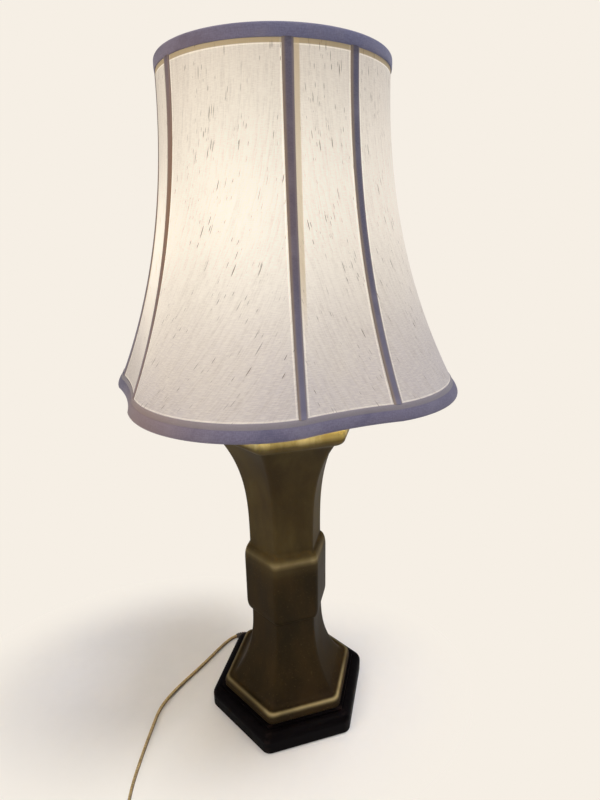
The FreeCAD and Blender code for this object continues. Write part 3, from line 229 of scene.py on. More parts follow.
def make_silk(name, through=0.045, rib_shade=0.0):
    """Slub silk: dark slubs, a fine weave, and the lamp's glow through it; rib_shade darkens one edge.

    The glow comes through round a few points of the shade, each with its reach.
    """
    made = new_material(name, Roughness=0.78, Sheen_Weight=0.12, Sheen_Roughness=0.4, Specular_IOR_Level=0.15)
    streak = noise(made, woven_space(made, (1250, 90, 1)), 1.0, 5.0, 0.75)
    broad = noise(made, woven_space(made, (420, 20, 1)), 1.0, 4.0, 0.7)
    streak = maths(made, "MULTIPLY_ADD", streak, 0.55, maths(made, "MULTIPLY", broad, 0.45))
    cross = noise(made, woven_space(made, (240, 1500, 1)), 1.0, 3.0, 0.6)
    slub = maths(made, "MAXIMUM", slub_marks(made, 520, 36, 0.77), slub_marks(made, 660, 74, 0.79))
    where = object_point(made)
    height = parts_of(made, where)[2]
    first, second, drop = seam_map(made)
    seam = maths(made, "MINIMUM", first, second)
    cloud = noise(made, where, 16.0, 3.0)
    # Painted shade: the silk is darker and greyer below the middle of its height.
    base = mix(made, spread(made, height, 0.42, 0.58), srgb(193, 184, 183), srgb(214, 203, 189))
    base = mix(made, spread(made, cloud, 0.40, 0.70, 0.0, 0.35), base, srgb(220, 211, 196))
    base = mix(made, spread(made, streak, 0.44, 0.64, 0.0, 0.38), base, srgb(172, 157, 143))
    base = mix(made, spread(made, cross, 0.42, 0.62, 0.0, 0.34), base, srgb(232, 225, 211))
    # Painted shadow of the top trim's inner hem: a tan strip seen through the lit silk, with its glow dimmed.
    from_hem = maths(made, "ABSOLUTE", maths(made, "SUBTRACT", drop, TOP_TRIM + 0.0014))
    hem_shadow = spread(made, from_hem, 0.0016, 0.0021, 0.9, 0.0)
    dim = hem_shadow
    base = mix(made, hem_shadow, base, srgb(172, 148, 104))
    # Painted highlight: a thin bright line of glow beside each seam.
    bright = stripe(made, seam, 0.0051, 0.0010)
    if rib_shade:
        upper = spread(made, drop, 0.160, 0.225, rib_shade, 0.0)
        beside = maths(made, "MULTIPLY", spread(made, first, 0.0078, 0.0090, 1.0, 0.0), upper)
        base = mix(made, beside, base, srgb(194, 166, 118))
        dim = maths(made, "MAXIMUM", hem_shadow, beside)
        bright = maths(made, "MULTIPLY", bright, maths(made, "SUBTRACT", 1.0, beside))
    base = mix(made, slub, base, srgb(92, 62, 38))
    to_shader(made, base, "Base Color")
    front = glow_spot(made, where, *FRONT_GLOW)
    level = stripe(made, height, 0.58, 0.22)
    # Painted highlight: bright lines of glow under the top hem and just above the bottom trim.
    bright = maths(made, "MAXIMUM", bright, stripe(made, drop, TOP_TRIM + 0.0038, 0.0007))
    bright = maths(made, "MAXIMUM", bright, stripe(made, drop, SHADE_HEIGHT - BOTTOM_TRIM - 0.0007, 0.0009))
    light = maths(made, "MULTIPLY_ADD", front, 0.27, maths(made, "MULTIPLY_ADD", level, 0.13, through))
    for centre, reach, strength in SIDE_GLOWS:
        light = maths(made, "MULTIPLY_ADD", glow_spot(made, where, centre, reach), strength, light)
    light = maths(made, "MULTIPLY_ADD", bright, 0.22, light)
    light = maths(made, "MULTIPLY", light, maths(made, "MULTIPLY_ADD", dim, -0.55, 1.0))
    light = maths(made, "MULTIPLY", light, spread(made, streak, 0.44, 0.64, 1.0, 0.84))
    light = maths(made, "MULTIPLY", light, maths(made, "MULTIPLY_ADD", slub, -0.9, 1.0))
    to_shader(made, mix(made, front, (1.0, 0.91, 0.75, 1), (1.0, 0.985, 0.84, 1)), "Emission Color")
    to_shader(made, light, "Emission Strength")
    relief = maths(made, "ADD", maths(made, "MULTIPLY", streak, 0.5), maths(made, "MULTIPLY", cross, 0.4))
    bump(made, maths(made, "ADD", relief, slub), 0.00025, 0.4)
    return made


def make_lining_cloth():
    """Plain off-white lining, lit warm by the bulb."""
    made = new_material("lining_cloth", Roughness=0.8, Sheen_Weight=0.2)
    weave = noise(made, woven_space(made, (1600, 1600, 1)), 1.0, 2.0)
    base = mix(made, spread(made, weave, 0.35, 0.65), srgb(230, 218, 196), srgb(246, 238, 222))
    to_shader(made, base, "Base Color")
    height = parts_of(made, object_point(made))[2]
    from_bulb = maths(made, "ABSOLUTE", maths(made, "SUBTRACT", height, 0.53))
    shader = made.node_tree.nodes["Principled BSDF"]
    shader.inputs["Emission Color"].default_value = (1.0, 0.78, 0.5, 1)
    to_shader(made, spread(made, from_bulb, 0.0, 0.18, 0.22, 0.08), "Emission Strength")
    bump(made, weave, 0.0002, 0.5)
    return made


def make_trim_cloth(name, dark, light, fold=None, first_edge_light=0.0):
    """Bound slate tape: a dense ribbed weave, browner where the lamp shines through.

    It is paler above a level, fold. A tape is paler and cooler low down, with painted light along both sides,
    browner on the first, whose share the last argument gives.
    """
    made = new_material(name, Roughness=0.8, Sheen_Weight=0.2, Sheen_Roughness=0.5, Specular_IOR_Level=0.2)
    across = noise(made, woven_space(made, (1500, 600, 1)), 1.0, 2.0)
    along = noise(made, woven_space(made, (260, 1900, 1)), 1.0, 2.0)
    threads = maths(made, "ADD", maths(made, "MULTIPLY", across, 0.5), maths(made, "MULTIPLY", along, 0.5))
    where = object_point(made)
    height = parts_of(made, where)[2]
    wear_and_highlight = noise(made, where, 45.0, 3.0)
    base = mix(made, spread(made, threads, 0.36, 0.64), dark, light)
    base = mix(made, spread(made, wear_and_highlight, 0.50, 0.72, 0.0, 0.34), base, srgb(136, 132, 146))
    base = mix(made, spread(made, wear_and_highlight, 0.28, 0.46, 0.40, 0.0), base, srgb(74, 74, 102))
    if fold:
        above = spread(made, height, fold - 0.0003, fold + 0.0003, 0.0, 0.6)
        base = mix(made, above, base, srgb(158, 150, 148))
    if first_edge_light:
        # Painted light along the tape's sides, browner on the first, paler on the second; paler and cooler
        # towards the bottom.
        side = marks_of(made, "fold")[0]
        base = mix(made, spread(made, height, 0.43, 0.56, 0.75, 0.0), base, srgb(124, 120, 138))
        base = mix(made, spread(made, side, -0.80, -0.25, first_edge_light, 0.0), base, srgb(146, 130, 114))
        base = mix(made, spread(made, side, 0.45, 0.85, 0.0, 0.75), base, srgb(142, 130, 128))
    # Painted light: browner where the lamp shines through, high and low at the front left.
    near = glow_spot(made, where, (-0.125, -0.065, 0.59), 0.17)
    base = mix(made, maths(made, "MULTIPLY", near, 0.85), base, srgb(152, 116, 84))
    low = glow_spot(made, where, (-0.150, -0.090, 0.42), 0.11)
    base = mix(made, maths(made, "MULTIPLY", low, 0.5), base, srgb(160, 132, 116))
    to_shader(made, base, "Base Color")
    bump(made, threads, 0.0002, 0.4)
    return made


def make_glaze():
    """Olive-brown satin glaze that breaks to paler tan on the foot's roll and over the band, brightened there
    by a painted highlight; the top lip carries painted light from the bulb.
    """
    made = new_material("olive_glaze", Specular_IOR_Level=0.07)
    where = object_point(made)
    height = parts_of(made, where)[2]
    flow = noise(made, object_space(made, (1, 1, 0.35)), 26.0, 5.0, 0.6)
    speck = noise(made, object_space(made), 420.0, 2.0, 0.6)
    patch = noise(made, object_space(made), 7.0, 3.0, 0.55)
    upper = mix(made, spread(made, flow, 0.34, 0.68), srgb(61, 50, 27), srgb(80, 68, 39))
    lower = mix(made, spread(made, flow, 0.34, 0.68), srgb(38, 29, 13), srgb(53, 41, 20))
    base = mix(made, spread(made, height, 0.185, 0.255), lower, upper)
    base = mix(made, spread(made, patch, 0.42, 0.66, 0.0, 0.5), base, srgb(42, 29, 16))
    base = mix(made, spread(made, speck, 0.60, 0.76, 0.0, 0.35), base, srgb(84, 72, 42))
    wear_and_highlight = marks_of(made, "break_and_highlight")
    # Painted highlight: the tan break is paler on faces turned to the front and at the corners.
    away = add(made, "ShaderNodeVectorMath", {0: where, 1: (1, 1, 0)}, operation="MULTIPLY")
    away = add(made, "ShaderNodeVectorMath", {0: away.outputs[0]}, operation="NORMALIZE")
    front = add(made, "ShaderNodeVectorMath", {0: away.outputs[0], 1: (0.26, -0.966, 0)},
                operation="DOT_PRODUCT").outputs["Value"]
    uneven = spread(made, noise(made, object_space(made), 30.0, 3.0), 0.30, 0.62, 0.65, 1.0)
    corner = spread(made, toward_corner(made, where), 0.55, 1.0, 0.85, 1.25)
    break_and_highlight = maths(made, "MULTIPLY", wear_and_highlight[0], spread(made, front, 0.4, 0.97, 0.34, 1.0))
    break_and_highlight = maths(made, "MULTIPLY", break_and_highlight, corner)
    base = mix(made, maths(made, "MULTIPLY", break_and_highlight, uneven), base, srgb(172, 156, 112))
    # Painted light from the bulb: the lip is pale yellow, fading towards its lower edge.
    lip = mix(made, spread(made, flow, 0.40, 0.62), srgb(150, 138, 86), srgb(206, 198, 146))
    base = mix(made, maths(made, "MULTIPLY", wear_and_highlight[1], 0.9), base, lip)
    to_shader(made, base, "Base Color")
    to_shader(made, spread(made, flow, 0.3, 0.7, 0.50, 0.62), "Roughness")
    bump(made, maths(made, "MULTIPLY_ADD", speck, 0.25, flow), 0.0005, 0.3)
    return made


def make_wood():
    """Ebonised wood under a satin lacquer, rubbed along the edges."""
    made = new_material("ebonised_wood", Specular_IOR_Level=0.04)
    grain = noise(made, object_space(made, (9, 160, 160)), 1.0, 4.0, 0.6)
    fine = noise(made, object_space(made, (60, 900, 900)), 1.0, 2.0, 0.5)
    base = mix(made, spread(made, grain, 0.35, 0.68), srgb(4, 2, 3), srgb(10, 7, 9))
    base = mix(made, spread(made, fine, 0.5, 0.75, 0.0, 0.35), base, srgb(20, 15, 17))
    corner = spread(made, toward_corner(made, object_point(made)), 0.95, 1.0)
    rubbed = maths(made, "MULTIPLY", corner, spread(made, grain, 0.45, 0.7, 0.0, 0.5))
    base = mix(made, maths(made, "MULTIPLY", rubbed, 0.35), base, srgb(70, 54, 48))
    to_shader(made, base, "Base Color")
    to_shader(made, spread(made, grain, 0.3, 0.7, 0.48, 0.62), "Roughness")
    bump(made, maths(made, "ADD", grain, maths(made, "MULTIPLY", fine, 0.5)), 0.0003, 0.4)
    return made


def make_metal(name, dark, light, roughness):
    """Metal with a slight tarnish."""
    made = new_material(name, Metallic=1.0)
    tarnish = noise(made, object_space(made), 90.0, 3.0, 0.6)
    scratch = noise(made, object_space(made, (1, 1, 30)), 60.0, 2.0)
    base = mix(made, spread(made, tarnish, 0.38, 0.66), light, dark)
    to_shader(made, base, "Base Color")
    to_shader(made, spread(made, scratch, 0.3, 0.7, roughness, roughness + 0.16), "Roughness")
    bump(made, scratch, 0.00008, 0.3)
    return made


def make_plain(name, dark, light, roughness, scale, depth, coat=0.0):
    """A moulded, painted or felted finish with a fine grain."""
    made = new_material(name, Roughness=roughness, Coat_Weight=coat, Coat_Roughness=0.2)
    grain = noise(made, object_space(made), scale, 3.0, 0.6)
    to_shader(made, mix(made, spread(made, grain, 0.35, 0.65), dark, light), "Base Color")
    bump(made, grain, depth, 0.5)
    return made


def make_flex():
    """Gold-brown twin flex: a pale upper strand that catches the light over a brown one."""
    made = new_material("gold_flex", Roughness=0.42, Coat_Weight=0.25, Coat_Roughness=0.25)
    strand = noise(made, woven_space(made, (900, 90, 1)), 1.0, 2.0)
    side = marks_of(made, "weave")[1]
    upper = mix(made, spread(made, strand, 0.35, 0.65), srgb(176, 150, 100), srgb(206, 182, 132))
    lower = mix(made, spread(made, strand, 0.35, 0.65), srgb(92, 66, 38), srgb(126, 94, 58))
    to_shader(made, mix(made, spread(made, side, 0.0072, 0.0081), upper, lower), "Base Color")
    bump(made, strand, 0.0002, 0.4)
    return made


def make_bulb_glass():
    """Frosted glass of a lit bulb."""
    made = new_material("lit_frosted_glass", Roughness=0.35)
    height = parts_of(made, object_point(made))[2]
    frost = noise(made, object_space(made), 300.0, 2.0)
    to_shader(made, mix(made, frost, srgb(250, 244, 232), srgb(255, 252, 246)), "Base Color")
    shader = made.node_tree.nodes["Principled BSDF"]
    shader.inputs["Emission Color"].default_value = (1.0, 0.80, 0.52, 1)
    to_shader(made, spread(made, height, 0.465, 0.51, 3.0, 16.0), "Emission Strength")
    return made


SILK = make_silk("slub_silk")
SILK_NARROW = make_silk("slub_silk_narrow", 0.075, 0.7)
LINING = make_lining_cloth()
TRIM = make_trim_cloth("slate_trim", srgb(105, 104, 130), srgb(121, 120, 146))
TRIM_LOW = make_trim_cloth("slate_folded_trim", srgb(105, 100, 120), srgb(121, 116, 136),
                           fold=SHADE_BOTTOM + 0.0082)
TAPE = make_trim_cloth("slate_tape", srgb(93, 89, 105), srgb(107, 103, 119), first_edge_light=0.8)
GLAZE = make_glaze()
WOOD = make_wood()
BRASS = make_metal("aged_brass", srgb(150, 112, 58), srgb(214, 178, 104), 0.24)
STEEL = make_metal("zinc_steel", srgb(120, 120, 124), srgb(178, 178, 182), 0.34)
ALUMINIUM = make_metal("rolled_aluminium", srgb(150, 150, 150), srgb(208, 208, 208), 0.3)
FELT = make_plain("green_felt", srgb(18, 34, 26), srgb(36, 58, 44), 0.95, 900.0, 0.0006)
WIRE_PAINT = make_plain("cream_enamel", srgb(214, 206, 188), srgb(232, 226, 210), 0.4, 120.0, 0.0002, 0.3)
MOULDING = make_plain("phenolic", srgb(36, 28, 24), srgb(54, 42, 36), 0.5, 300.0, 0.0001)
PLASTIC = make_plain("brown_plastic", srgb(52, 40, 30), srgb(72, 56, 42), 0.32, 260.0, 0.00008, 0.4)
CARD = make_plain("insulating_card", srgb(128, 116, 96), srgb(160, 146, 120), 0.9, 500.0, 0.0003)
FLEX = make_flex()
LIT_GLASS = make_bulb_glass()

SLOT_FINISH = {
    "dark_wood": WOOD, "felt": FELT, "glaze": GLAZE, "brass": BRASS, "steel": STEEL,
    "frame_wire": WIRE_PAINT, "silk": SILK, "lining": LINING, "trim": TRIM, "insulating_card": CARD,
    "moulding": MOULDING, "thin_aluminium": ALUMINIUM, "dark_plastic": PLASTIC,
    "frosted_glass": LIT_GLASS, "flex": FLEX,
}
for part in frame["record"]["subparts"]:
    finish = SLOT_FINISH[part["material_slot"]]
    for slot in frame["nodes"][part["node"]].material_slots:
        slot.material = finish


# Camera

def make_camera():
    """Camera at the photograph's viewing angle."""
    data = bpy.data.cameras.new("camera")
    data.lens = 22.996
    data.sensor_width = 36.0
    heading = math.radians(15.96)
    pitch = math.radians(18.25)
    roll = math.radians(-0.814)
    forward = Vector((math.sin(heading) * math.cos(pitch), math.cos(heading) * math.cos(pitch),
                      -math.sin(pitch)))
    level = Vector((math.cos(heading), -math.sin(heading), 0))
    top = level.cross(forward)
    right = level * math.cos(roll) + top * math.sin(roll)
    upright = top * math.cos(roll) - level * math.sin(roll)
    turn = Matrix((right, upright, -forward)).transposed().to_4x4()
    camera = bpy.data.objects.new("camera", data)
    bpy.context.scene.collection.objects.link(camera)
    camera.matrix_world = Matrix.Translation(mm(-124.7, -505.2, 563.8)) @ turn
    bpy.context.scene.camera = camera


# Meshes

def new_piece(name, verts, faces, material):
    """A smooth mesh object with one material."""
    mesh = bpy.data.meshes.new(name)
    mesh.from_pydata([tuple(point) for point in verts], [], faces)
    mesh.materials.append(material)
    mesh.polygons.foreach_set("use_smooth", [True] * len(mesh.polygons))
    mesh.update()
    made = bpy.data.objects.new(name, mesh)
    bpy.context.scene.collection.objects.link(made)
    return made


def add_weave(piece, coordinates, name="weave"):
    """Cloth coordinates in metres, one pair for each vertex."""
    layer = piece.data.uv_layers.new(name=name)
    for loop in piece.data.loops:
        layer.data[loop.index].uv = coordinates[loop.vertex_index]


def swept(name, rings, material, coordinates, endless=False):
    """A mesh from closed rings of points, which joins its last ring to its first or has both ends capped."""
    count = len(rings[0])
    verts = [point for ring in rings for point in ring]
    faces = []
    steps = len(rings) if endless else len(rings) - 1
    for i in range(steps):
        j = (i + 1) % len(rings)
        for k in range(count):
            m = (k + 1) % count
            faces.append((i * count + k, i * count + m, j * count + m, j * count + k))
    if not endless:
        faces.append(tuple(range(count - 1, -1, -1)))
        faces.append(tuple((len(rings) - 1) * count + k for k in range(count)))
    made = new_piece(name, verts, faces, material)
    add_weave(made, coordinates)
    return made


# Cord

def cord_route():
    """Control points: out of the bushing, over the table, three turns in, nearly three out, to the plug."""
    route = [mm(-31.06, 88.74, 6.5), mm(-41.79, 97.74, 6.5), mm(-58, 99, 4.4), mm(-77, 88, 2.75),
             mm(-104, 63.5, 2.75), mm(-142, 34, 2.75), mm(-163.5, 12, 2.75), mm(-173.5, -14, 2.75),
             mm(-184.5, -44, 2.75), mm(-197.5, -84, 2.75), mm(-203, -126, 2.75), mm(-203, -165, 2.75)]
    centre = mm(-161, -170.5, 0)
    outer = 0.042
    pitch = 0.0061
    turns = 3
    per_turn = 16
    inner = outer - turns * pitch
    half = per_turn // 2
    shrink = 0.75 + 0.25 * math.cos(2 * math.pi / per_turn)

    def place(radius, share, height):
        route.append(centre + polar(radius / shrink, 180 + 360 * share, height))

    floor = 0.00275
    for step in range(turns * per_turn):
        turn, part = divmod(step + 0.5, per_turn)
        wound = turn if part < half else turn + (1 - math.cos(math.pi * (part - half) / half)) / 2
        place(outer - pitch * wound, (step + 0.5) / per_turn, floor)
    for step in range(half):
        climb = (1 - math.cos(math.pi * (step + 0.5) / half)) / 2
        place(inner, (step + 0.5) / per_turn, floor + pitch * climb)
    for step in range(2 * per_turn + per_turn * 3 // 4):
        turn, part = divmod(step + 0.5, per_turn)
        wound = turn + 1 if part > half else turn + (1 - math.cos(math.pi * part / half)) / 2
        place(inner + pitch * wound, 0.5 + (step + 0.5) / per_turn, floor + pitch)
    route += [mm(-155.5, -212.5, 8.85), mm(-143.5, -212.5, 8.85), mm(-130.5, -213.1, 7.56),
              mm(-117.5, -213.7, 6.5), mm(-105.5, -213.7, 6.5)]
    return route


def spline_points(points, name):
    """Points along one smooth spline that has these control points."""
    data = bpy.data.curves.new(name, "CURVE")
    data.dimensions = "3D"
    data.resolution_u = 6
    spline = data.splines.new("NURBS")
    spline.points.add(len(points) - 1)
    for place, point in zip(spline.points, points):
        place.co = (*point, 1.0)
    spline.order_u = 3
    spline.use_endpoint_u = True
    line = bpy.data.objects.new(name, data)
    bpy.context.scene.collection.objects.link(line)
    bpy.context.view_layer.update()
    mesh = bpy.data.meshes.new_from_object(line)
    found = [vertex.co.copy() for vertex in mesh.vertices]
    bpy.data.objects.remove(line)
    bpy.data.meshes.remove(mesh)
    return found


def path_length(points):
    """Length of a line through points."""
    return sum((b - a).length for a, b in zip(points, points[1:]))


def make_cord():
    """Twin flex: two strands side by side, standing on edge as a flat flex does in a bend."""
    path = spline_points(cord_route(), "cord_line")
    strand_radius = 0.00146
    strand_height = 0.00129
    section = []
    for k in range(9):
        angle = math.radians(-62 + 304 * k / 8)
        section.append((strand_radius * math.cos(angle), strand_height + strand_radius * math.sin(angle)))
    section += [(-x, -y) for x, y in section]
    rings = []
    coordinates = []
    run = 0.0
    for i, here in enumerate(path):
        way = (path[min(i + 1, len(path) - 1)] - path[max(i - 1, 0)]).normalized()
        side = way.cross(UP).normalized()
        top = side.cross(way)
        rings.append([here + side * x + top * y for x, y in section])
        coordinates += [(run, 0.0009 * k) for k in range(len(section))]
        if i + 1 < len(path):
            run += (path[i + 1] - here).length
    cord = swept("cord_flex", rings, FLEX, coordinates)
    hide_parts("cord_lead", "cord_coil", "cord_tail")
    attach(cord, "base")
    make_strain_relief(path)


def along(path, distance):
    """The point this far along a path, and the path's direction there."""
    for here, there in zip(path, path[1:]):
        step = (there - here).length
        if distance <= step:
            return here.lerp(there, distance / step), (there - here).normalized()
        distance -= step
    return path[-1], (path[-1] - path[-2]).normalized()


def make_strain_relief(path):
    """Tapered ribbed sleeve that follows the cord where it leaves the bushing."""
    profile = [(0.0002, 0.0040), (0.0, 0.0046), (0.0, 0.0051), (0.0006, 0.0054), (0.0020, 0.0054),
               (0.0026, 0.0050)]
    for k in range(7):
        start = 0.0028 + 0.0030 * k
        radius = 0.0050 - 0.00022 * k
        profile += [(start, radius - 0.0005), (start + 0.0005, radius), (start + 0.0018, radius - 0.0001),
                    (start + 0.0023, radius - 0.0006)]
    profile += [(0.0242, 0.0034), (0.0246, 0.0031)]
    count = 24
    rings = []
    coordinates = []
    for distance, radius in profile:
        middle, way = along(path, distance)
        side = way.cross(UP).normalized()
        top = side.cross(way)
        rings.append([middle + side * (radius * math.cos(2 * math.pi * k / count))
                      + top * (radius * math.sin(2 * math.pi * k / count)) for k in range(count)])
        coordinates += [(distance, radius * k) for k in range(count)]
    made = swept("cord_strain_relief", rings, PLASTIC, coordinates)
    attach(made, "base")


# Shade

def bell(part):
    """How far the bell has swept out at a share of the way down."""
    return max(part, 0.0) ** BELL_POWER


def lobe_span(lobe):
    """Middle direction and half angle of a panel."""
    span = WIDE_ANGLE if lobe % 2 == 0 else 90 - WIDE_ANGLE
    return SHADE_TURN + 45 * lobe, span / 2


def lobe_point(part, lobe, share, offset=0.0):
    """A point on a panel: a share of the way down and a share of the way across."""
    direction, half = lobe_span(lobe)
    radius = TOP_RADIUS + (RIB_RADIUS - TOP_RADIUS) * bell(part)
    round_top = TOP_RADIUS * (1 - math.cos(math.radians(half)))
    below = WIDE_BULGE if lobe % 2 == 0 else -NARROW_DISH
    rise = round_top + (below - round_top) * bell(part)
    half_chord = (radius + offset) * math.sin(math.radians(half))
    chord = (radius + offset) * math.cos(math.radians(half))
    crown = radius * math.cos(math.radians(half)) + rise + offset - chord
    if abs(crown) < 1e-6:
        crown = 1e-6
    arc_radius = (half_chord ** 2 + crown ** 2) / (2 * crown)
    sweep = 2 * math.asin(max(-1.0, min(1.0, half_chord / abs(arc_radius))))
    if abs(crown) > half_chord:
        sweep = 2 * math.pi - sweep
    angle = (share - 0.5) * sweep
    side = abs(arc_radius) * math.sin(angle)
    out = chord + crown - math.copysign(abs(arc_radius) * (1 - math.cos(angle)), crown)
    turn = math.radians(direction)
    height = SHADE_TOP - part * SHADE_HEIGHT
    return Vector((out * math.cos(turn) - side * math.sin(turn),
                   out * math.sin(turn) + side * math.cos(turn), height))


def lobe_width(part, lobe, offset=0.0):
    """Length of a panel's line across."""
    points = [lobe_point(part, lobe, k / 12, offset) for k in range(13)]
    return path_length(points)


def make_panels():
    """Silk panels, each a sheet stretched between two ribs and the two rims."""
    thickness = 0.0008
    edge_gap = 0.00012
    down = 44
    for lobe in range(8):
        kind = "wide" if lobe % 2 == 0 else "narrow"
        across = 28 if lobe % 2 == 0 else 16
        lean = 0.08 if lobe in (2, 6) else -0.06
        name = f"shade_panel_{kind}_{lobe // 2 + 1}"
        verts = []
        coordinates = []
        seams = []
        for layer in (0.0, -thickness):
            for i in range(down + 1):
                part = i / down
                width = lobe_width(part, lobe)
                edge = edge_gap / width
                for k in range(across + 1):
                    share = edge + (1 - 2 * edge) * k / across
                    verts.append(lobe_point(part, lobe, share, layer))
                    cut = (share - 0.5) * (0.11 if lobe % 2 == 0 else 0.06) + 0.2 * lobe
                    coordinates.append((cut + lean * part ** 2, part * SHADE_HEIGHT))
                    seams.append((share * width, (1 - share) * width))
        row = across + 1
        sheet = row * (down + 1)
        faces = []
        for i in range(down):
            for k in range(across):
                a, b = i * row + k, i * row + k + 1
                faces.append((a, a + row, b + row, b))
                faces.append((sheet + a, sheet + b, sheet + b + row, sheet + a + row))
        rim = [k for k in range(row)] + [i * row + across for i in range(1, down + 1)]
        rim += [down * row + k for k in range(across - 1, -1, -1)] + [i * row for i in range(down - 1, 0, -1)]
        for a, b in zip(rim, rim[1:] + rim[:1]):
            faces.append((a, b, sheet + b, sheet + a))
        cloth = SILK if lobe % 2 == 0 else SILK_NARROW
        piece = new_piece(f"silk_{kind}_{lobe // 2 + 1}", verts, faces, cloth)
        add_weave(piece, coordinates)
        add_weave(piece, seams, "seam")
        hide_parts(name)
        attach(piece, "shade")


def around(part, offset, per_wide=30, per_narrow=16):
    """Points round the whole shade, with their running length."""
    points = []
    for lobe in range(8):
        count = per_wide if lobe % 2 == 0 else per_narrow
        points += [lobe_point(part, lobe, k / count, offset) for k in range(count)]
    return points


def make_band(name, profile, material):
    """A band round the shade; its closed profile is offset and drop from the top edge, in metres."""
    columns = [around(drop / SHADE_HEIGHT, offset) for offset, drop in profile]
    rings = [[column[i] for column in columns] for i in range(len(columns[0]))]
    for ring in rings:
        for point, (_, drop) in zip(ring, profile):
            point.z = SHADE_TOP - drop
    coordinates = []
    run = 0.0
    for i, ring in enumerate(rings):
        coordinates += [(run, 0.0015 * k) for k in range(len(ring))]
        run += (rings[(i + 1) % len(rings)][0] - ring[0]).length
    return swept(name, rings, material, coordinates, endless=True)


def make_trims():
    """Bound trims that wrap the top and bottom edges; the lower one has a flat fold over a fuller roll."""
    high = -0.0008
    top = [(0.0001, TOP_TRIM), (0.0006, TOP_TRIM - 0.0001), (0.0009, TOP_TRIM - 0.0007),
           (0.00112, 0.0062), (0.00118, 0.0035), (0.00105, 0.0008), (0.0008, 0.0), (0.0002, high),
           (-0.0010, high), (-0.0016, 0.0), (-0.0017, 0.0040), (-0.0013, 0.0042), (-0.0009, 0.0010),
           (0.0, 0.0002), (0.0001, 0.0010)]
    base = SHADE_HEIGHT
    low = base + 0.0008
    bottom = [(0.0001, base - BOTTOM_TRIM), (0.0005, base - 0.0124), (0.0007, base - 0.0118),
              (0.0007, base - 0.0090), (0.0004, base - 0.0084), (0.0004, base - 0.0081),
              (0.0009, base - 0.0074), (0.0014, base - 0.0058), (0.0015, base - 0.0036),
              (0.0012, base - 0.0012), (0.0008, base - 0.0001), (0.0002, low), (-0.0010, low),
              (-0.0016, base), (-0.0017, base - 0.0040), (-0.0013, base - 0.0042),
              (-0.0009, base - 0.0010), (0.0, base - 0.0002), (0.0001, base - 0.0010)]
    for name, profile, material, node in (("trim_top", top, TRIM, "shade_top_trim"),
                                          ("trim_bottom", bottom, TRIM_LOW, "shade_bottom_trim")):
        piece = make_band(name, profile, material)
        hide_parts(node)
        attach(piece, "shade")


def make_tapes():
    """A folded tape over each rib, crowned over the seam and a little narrower below."""
    steps = 40
    start = (TOP_TRIM - 0.0003) / SHADE_HEIGHT
    end = 1 - (BOTTOM_TRIM - 0.0003) / SHADE_HEIGHT
    section = [(-1.0, 0.00012), (-0.99, 0.00050), (-0.90, 0.00075), (-0.5, 0.00095), (0.0, 0.00120),
               (0.5, 0.00095), (0.90, 0.00075), (0.99, 0.00050), (1.0, 0.00012), (0.0, 0.00035)]
    verts = []
    faces = []
    coordinates = []
    folds = []
    for lobe in range(8):
        following = (lobe + 1) % 8
        first = len(verts)
        for i in range(steps + 1):
            part = start + (end - start) * i / steps
            half = 0.0043 - 0.0006 * part
            width_before = lobe_width(part, lobe)
            width_after = lobe_width(part, following)
            for k, (across, lift) in enumerate(section):
                if across <= 0:
                    point = lobe_point(part, lobe, 1 + across * half / width_before, lift)
                else:
                    point = lobe_point(part, following, across * half / width_after, lift)
                verts.append(point)
                coordinates.append((across * half + 0.1 * lobe, part * SHADE_HEIGHT))
                folds.append((across, part))
        count = len(section)
        for i in range(steps):
            for k in range(count):
                m = (k + 1) % count
                a = first + i * count
                faces.append((a + k, a + m, a + count + m, a + count + k))
        faces.append(tuple(first + k for k in range(count)))
        faces.append(tuple(first + steps * count + k for k in range(count - 1, -1, -1)))
    piece = new_piece("rib_tapes", verts, faces, TAPE)
    add_weave(piece, coordinates)
    add_weave(piece, folds, "fold")
    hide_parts("shade_rib_tapes")
    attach(piece, "shade")


def make_lining():
    """Lining drawn tight from rim to rim, with faint gathers."""
    inside = 0.0052
    top_drop = 0.0052
    tall = SHADE_HEIGHT - 0.0068
    down = 30
    rows = []
    for i in range(down + 1):
        part = (top_drop + tall * i / down) / SHADE_HEIGHT
        rows.append(around(part, -inside, 48, 26))
    count = len(rows[0])
    verts = []
    coordinates = []
    for layer in (0.0, 0.0004):
        for i, row in enumerate(rows):
            for k, point in enumerate(row):
                inward = Vector((-point.x, -point.y, 0)).normalized()
                gather = 0.00025 * (1 + math.sin(k * 1.9)) * math.sin(math.pi * i / down)
                verts.append(point + inward * (layer + gather))
                coordinates.append((k * 0.0035, i * 0.0095))
    faces = []
    sheet = count * (down + 1)
    for i in range(down):
        for k in range(count):
            m = (k + 1) % count
            a = i * count
            faces.append((a + k, a + count + k, a + count + m, a + m))
            faces.append((sheet + a + k, sheet + a + m, sheet + a + count + m, sheet + a + count + k))
    for k in range(count):
        m = (k + 1) % count
        faces.append((k, m, sheet + m, sheet + k))
        a = down * count
        faces.append((a + m, a + k, sheet + a + k, sheet + a + m))
    piece = new_piece("shade_lining_cloth", verts, faces, LINING)
    add_weave(piece, coordinates)
    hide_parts("shade_lining")
    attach(piece, "shade")


# Column

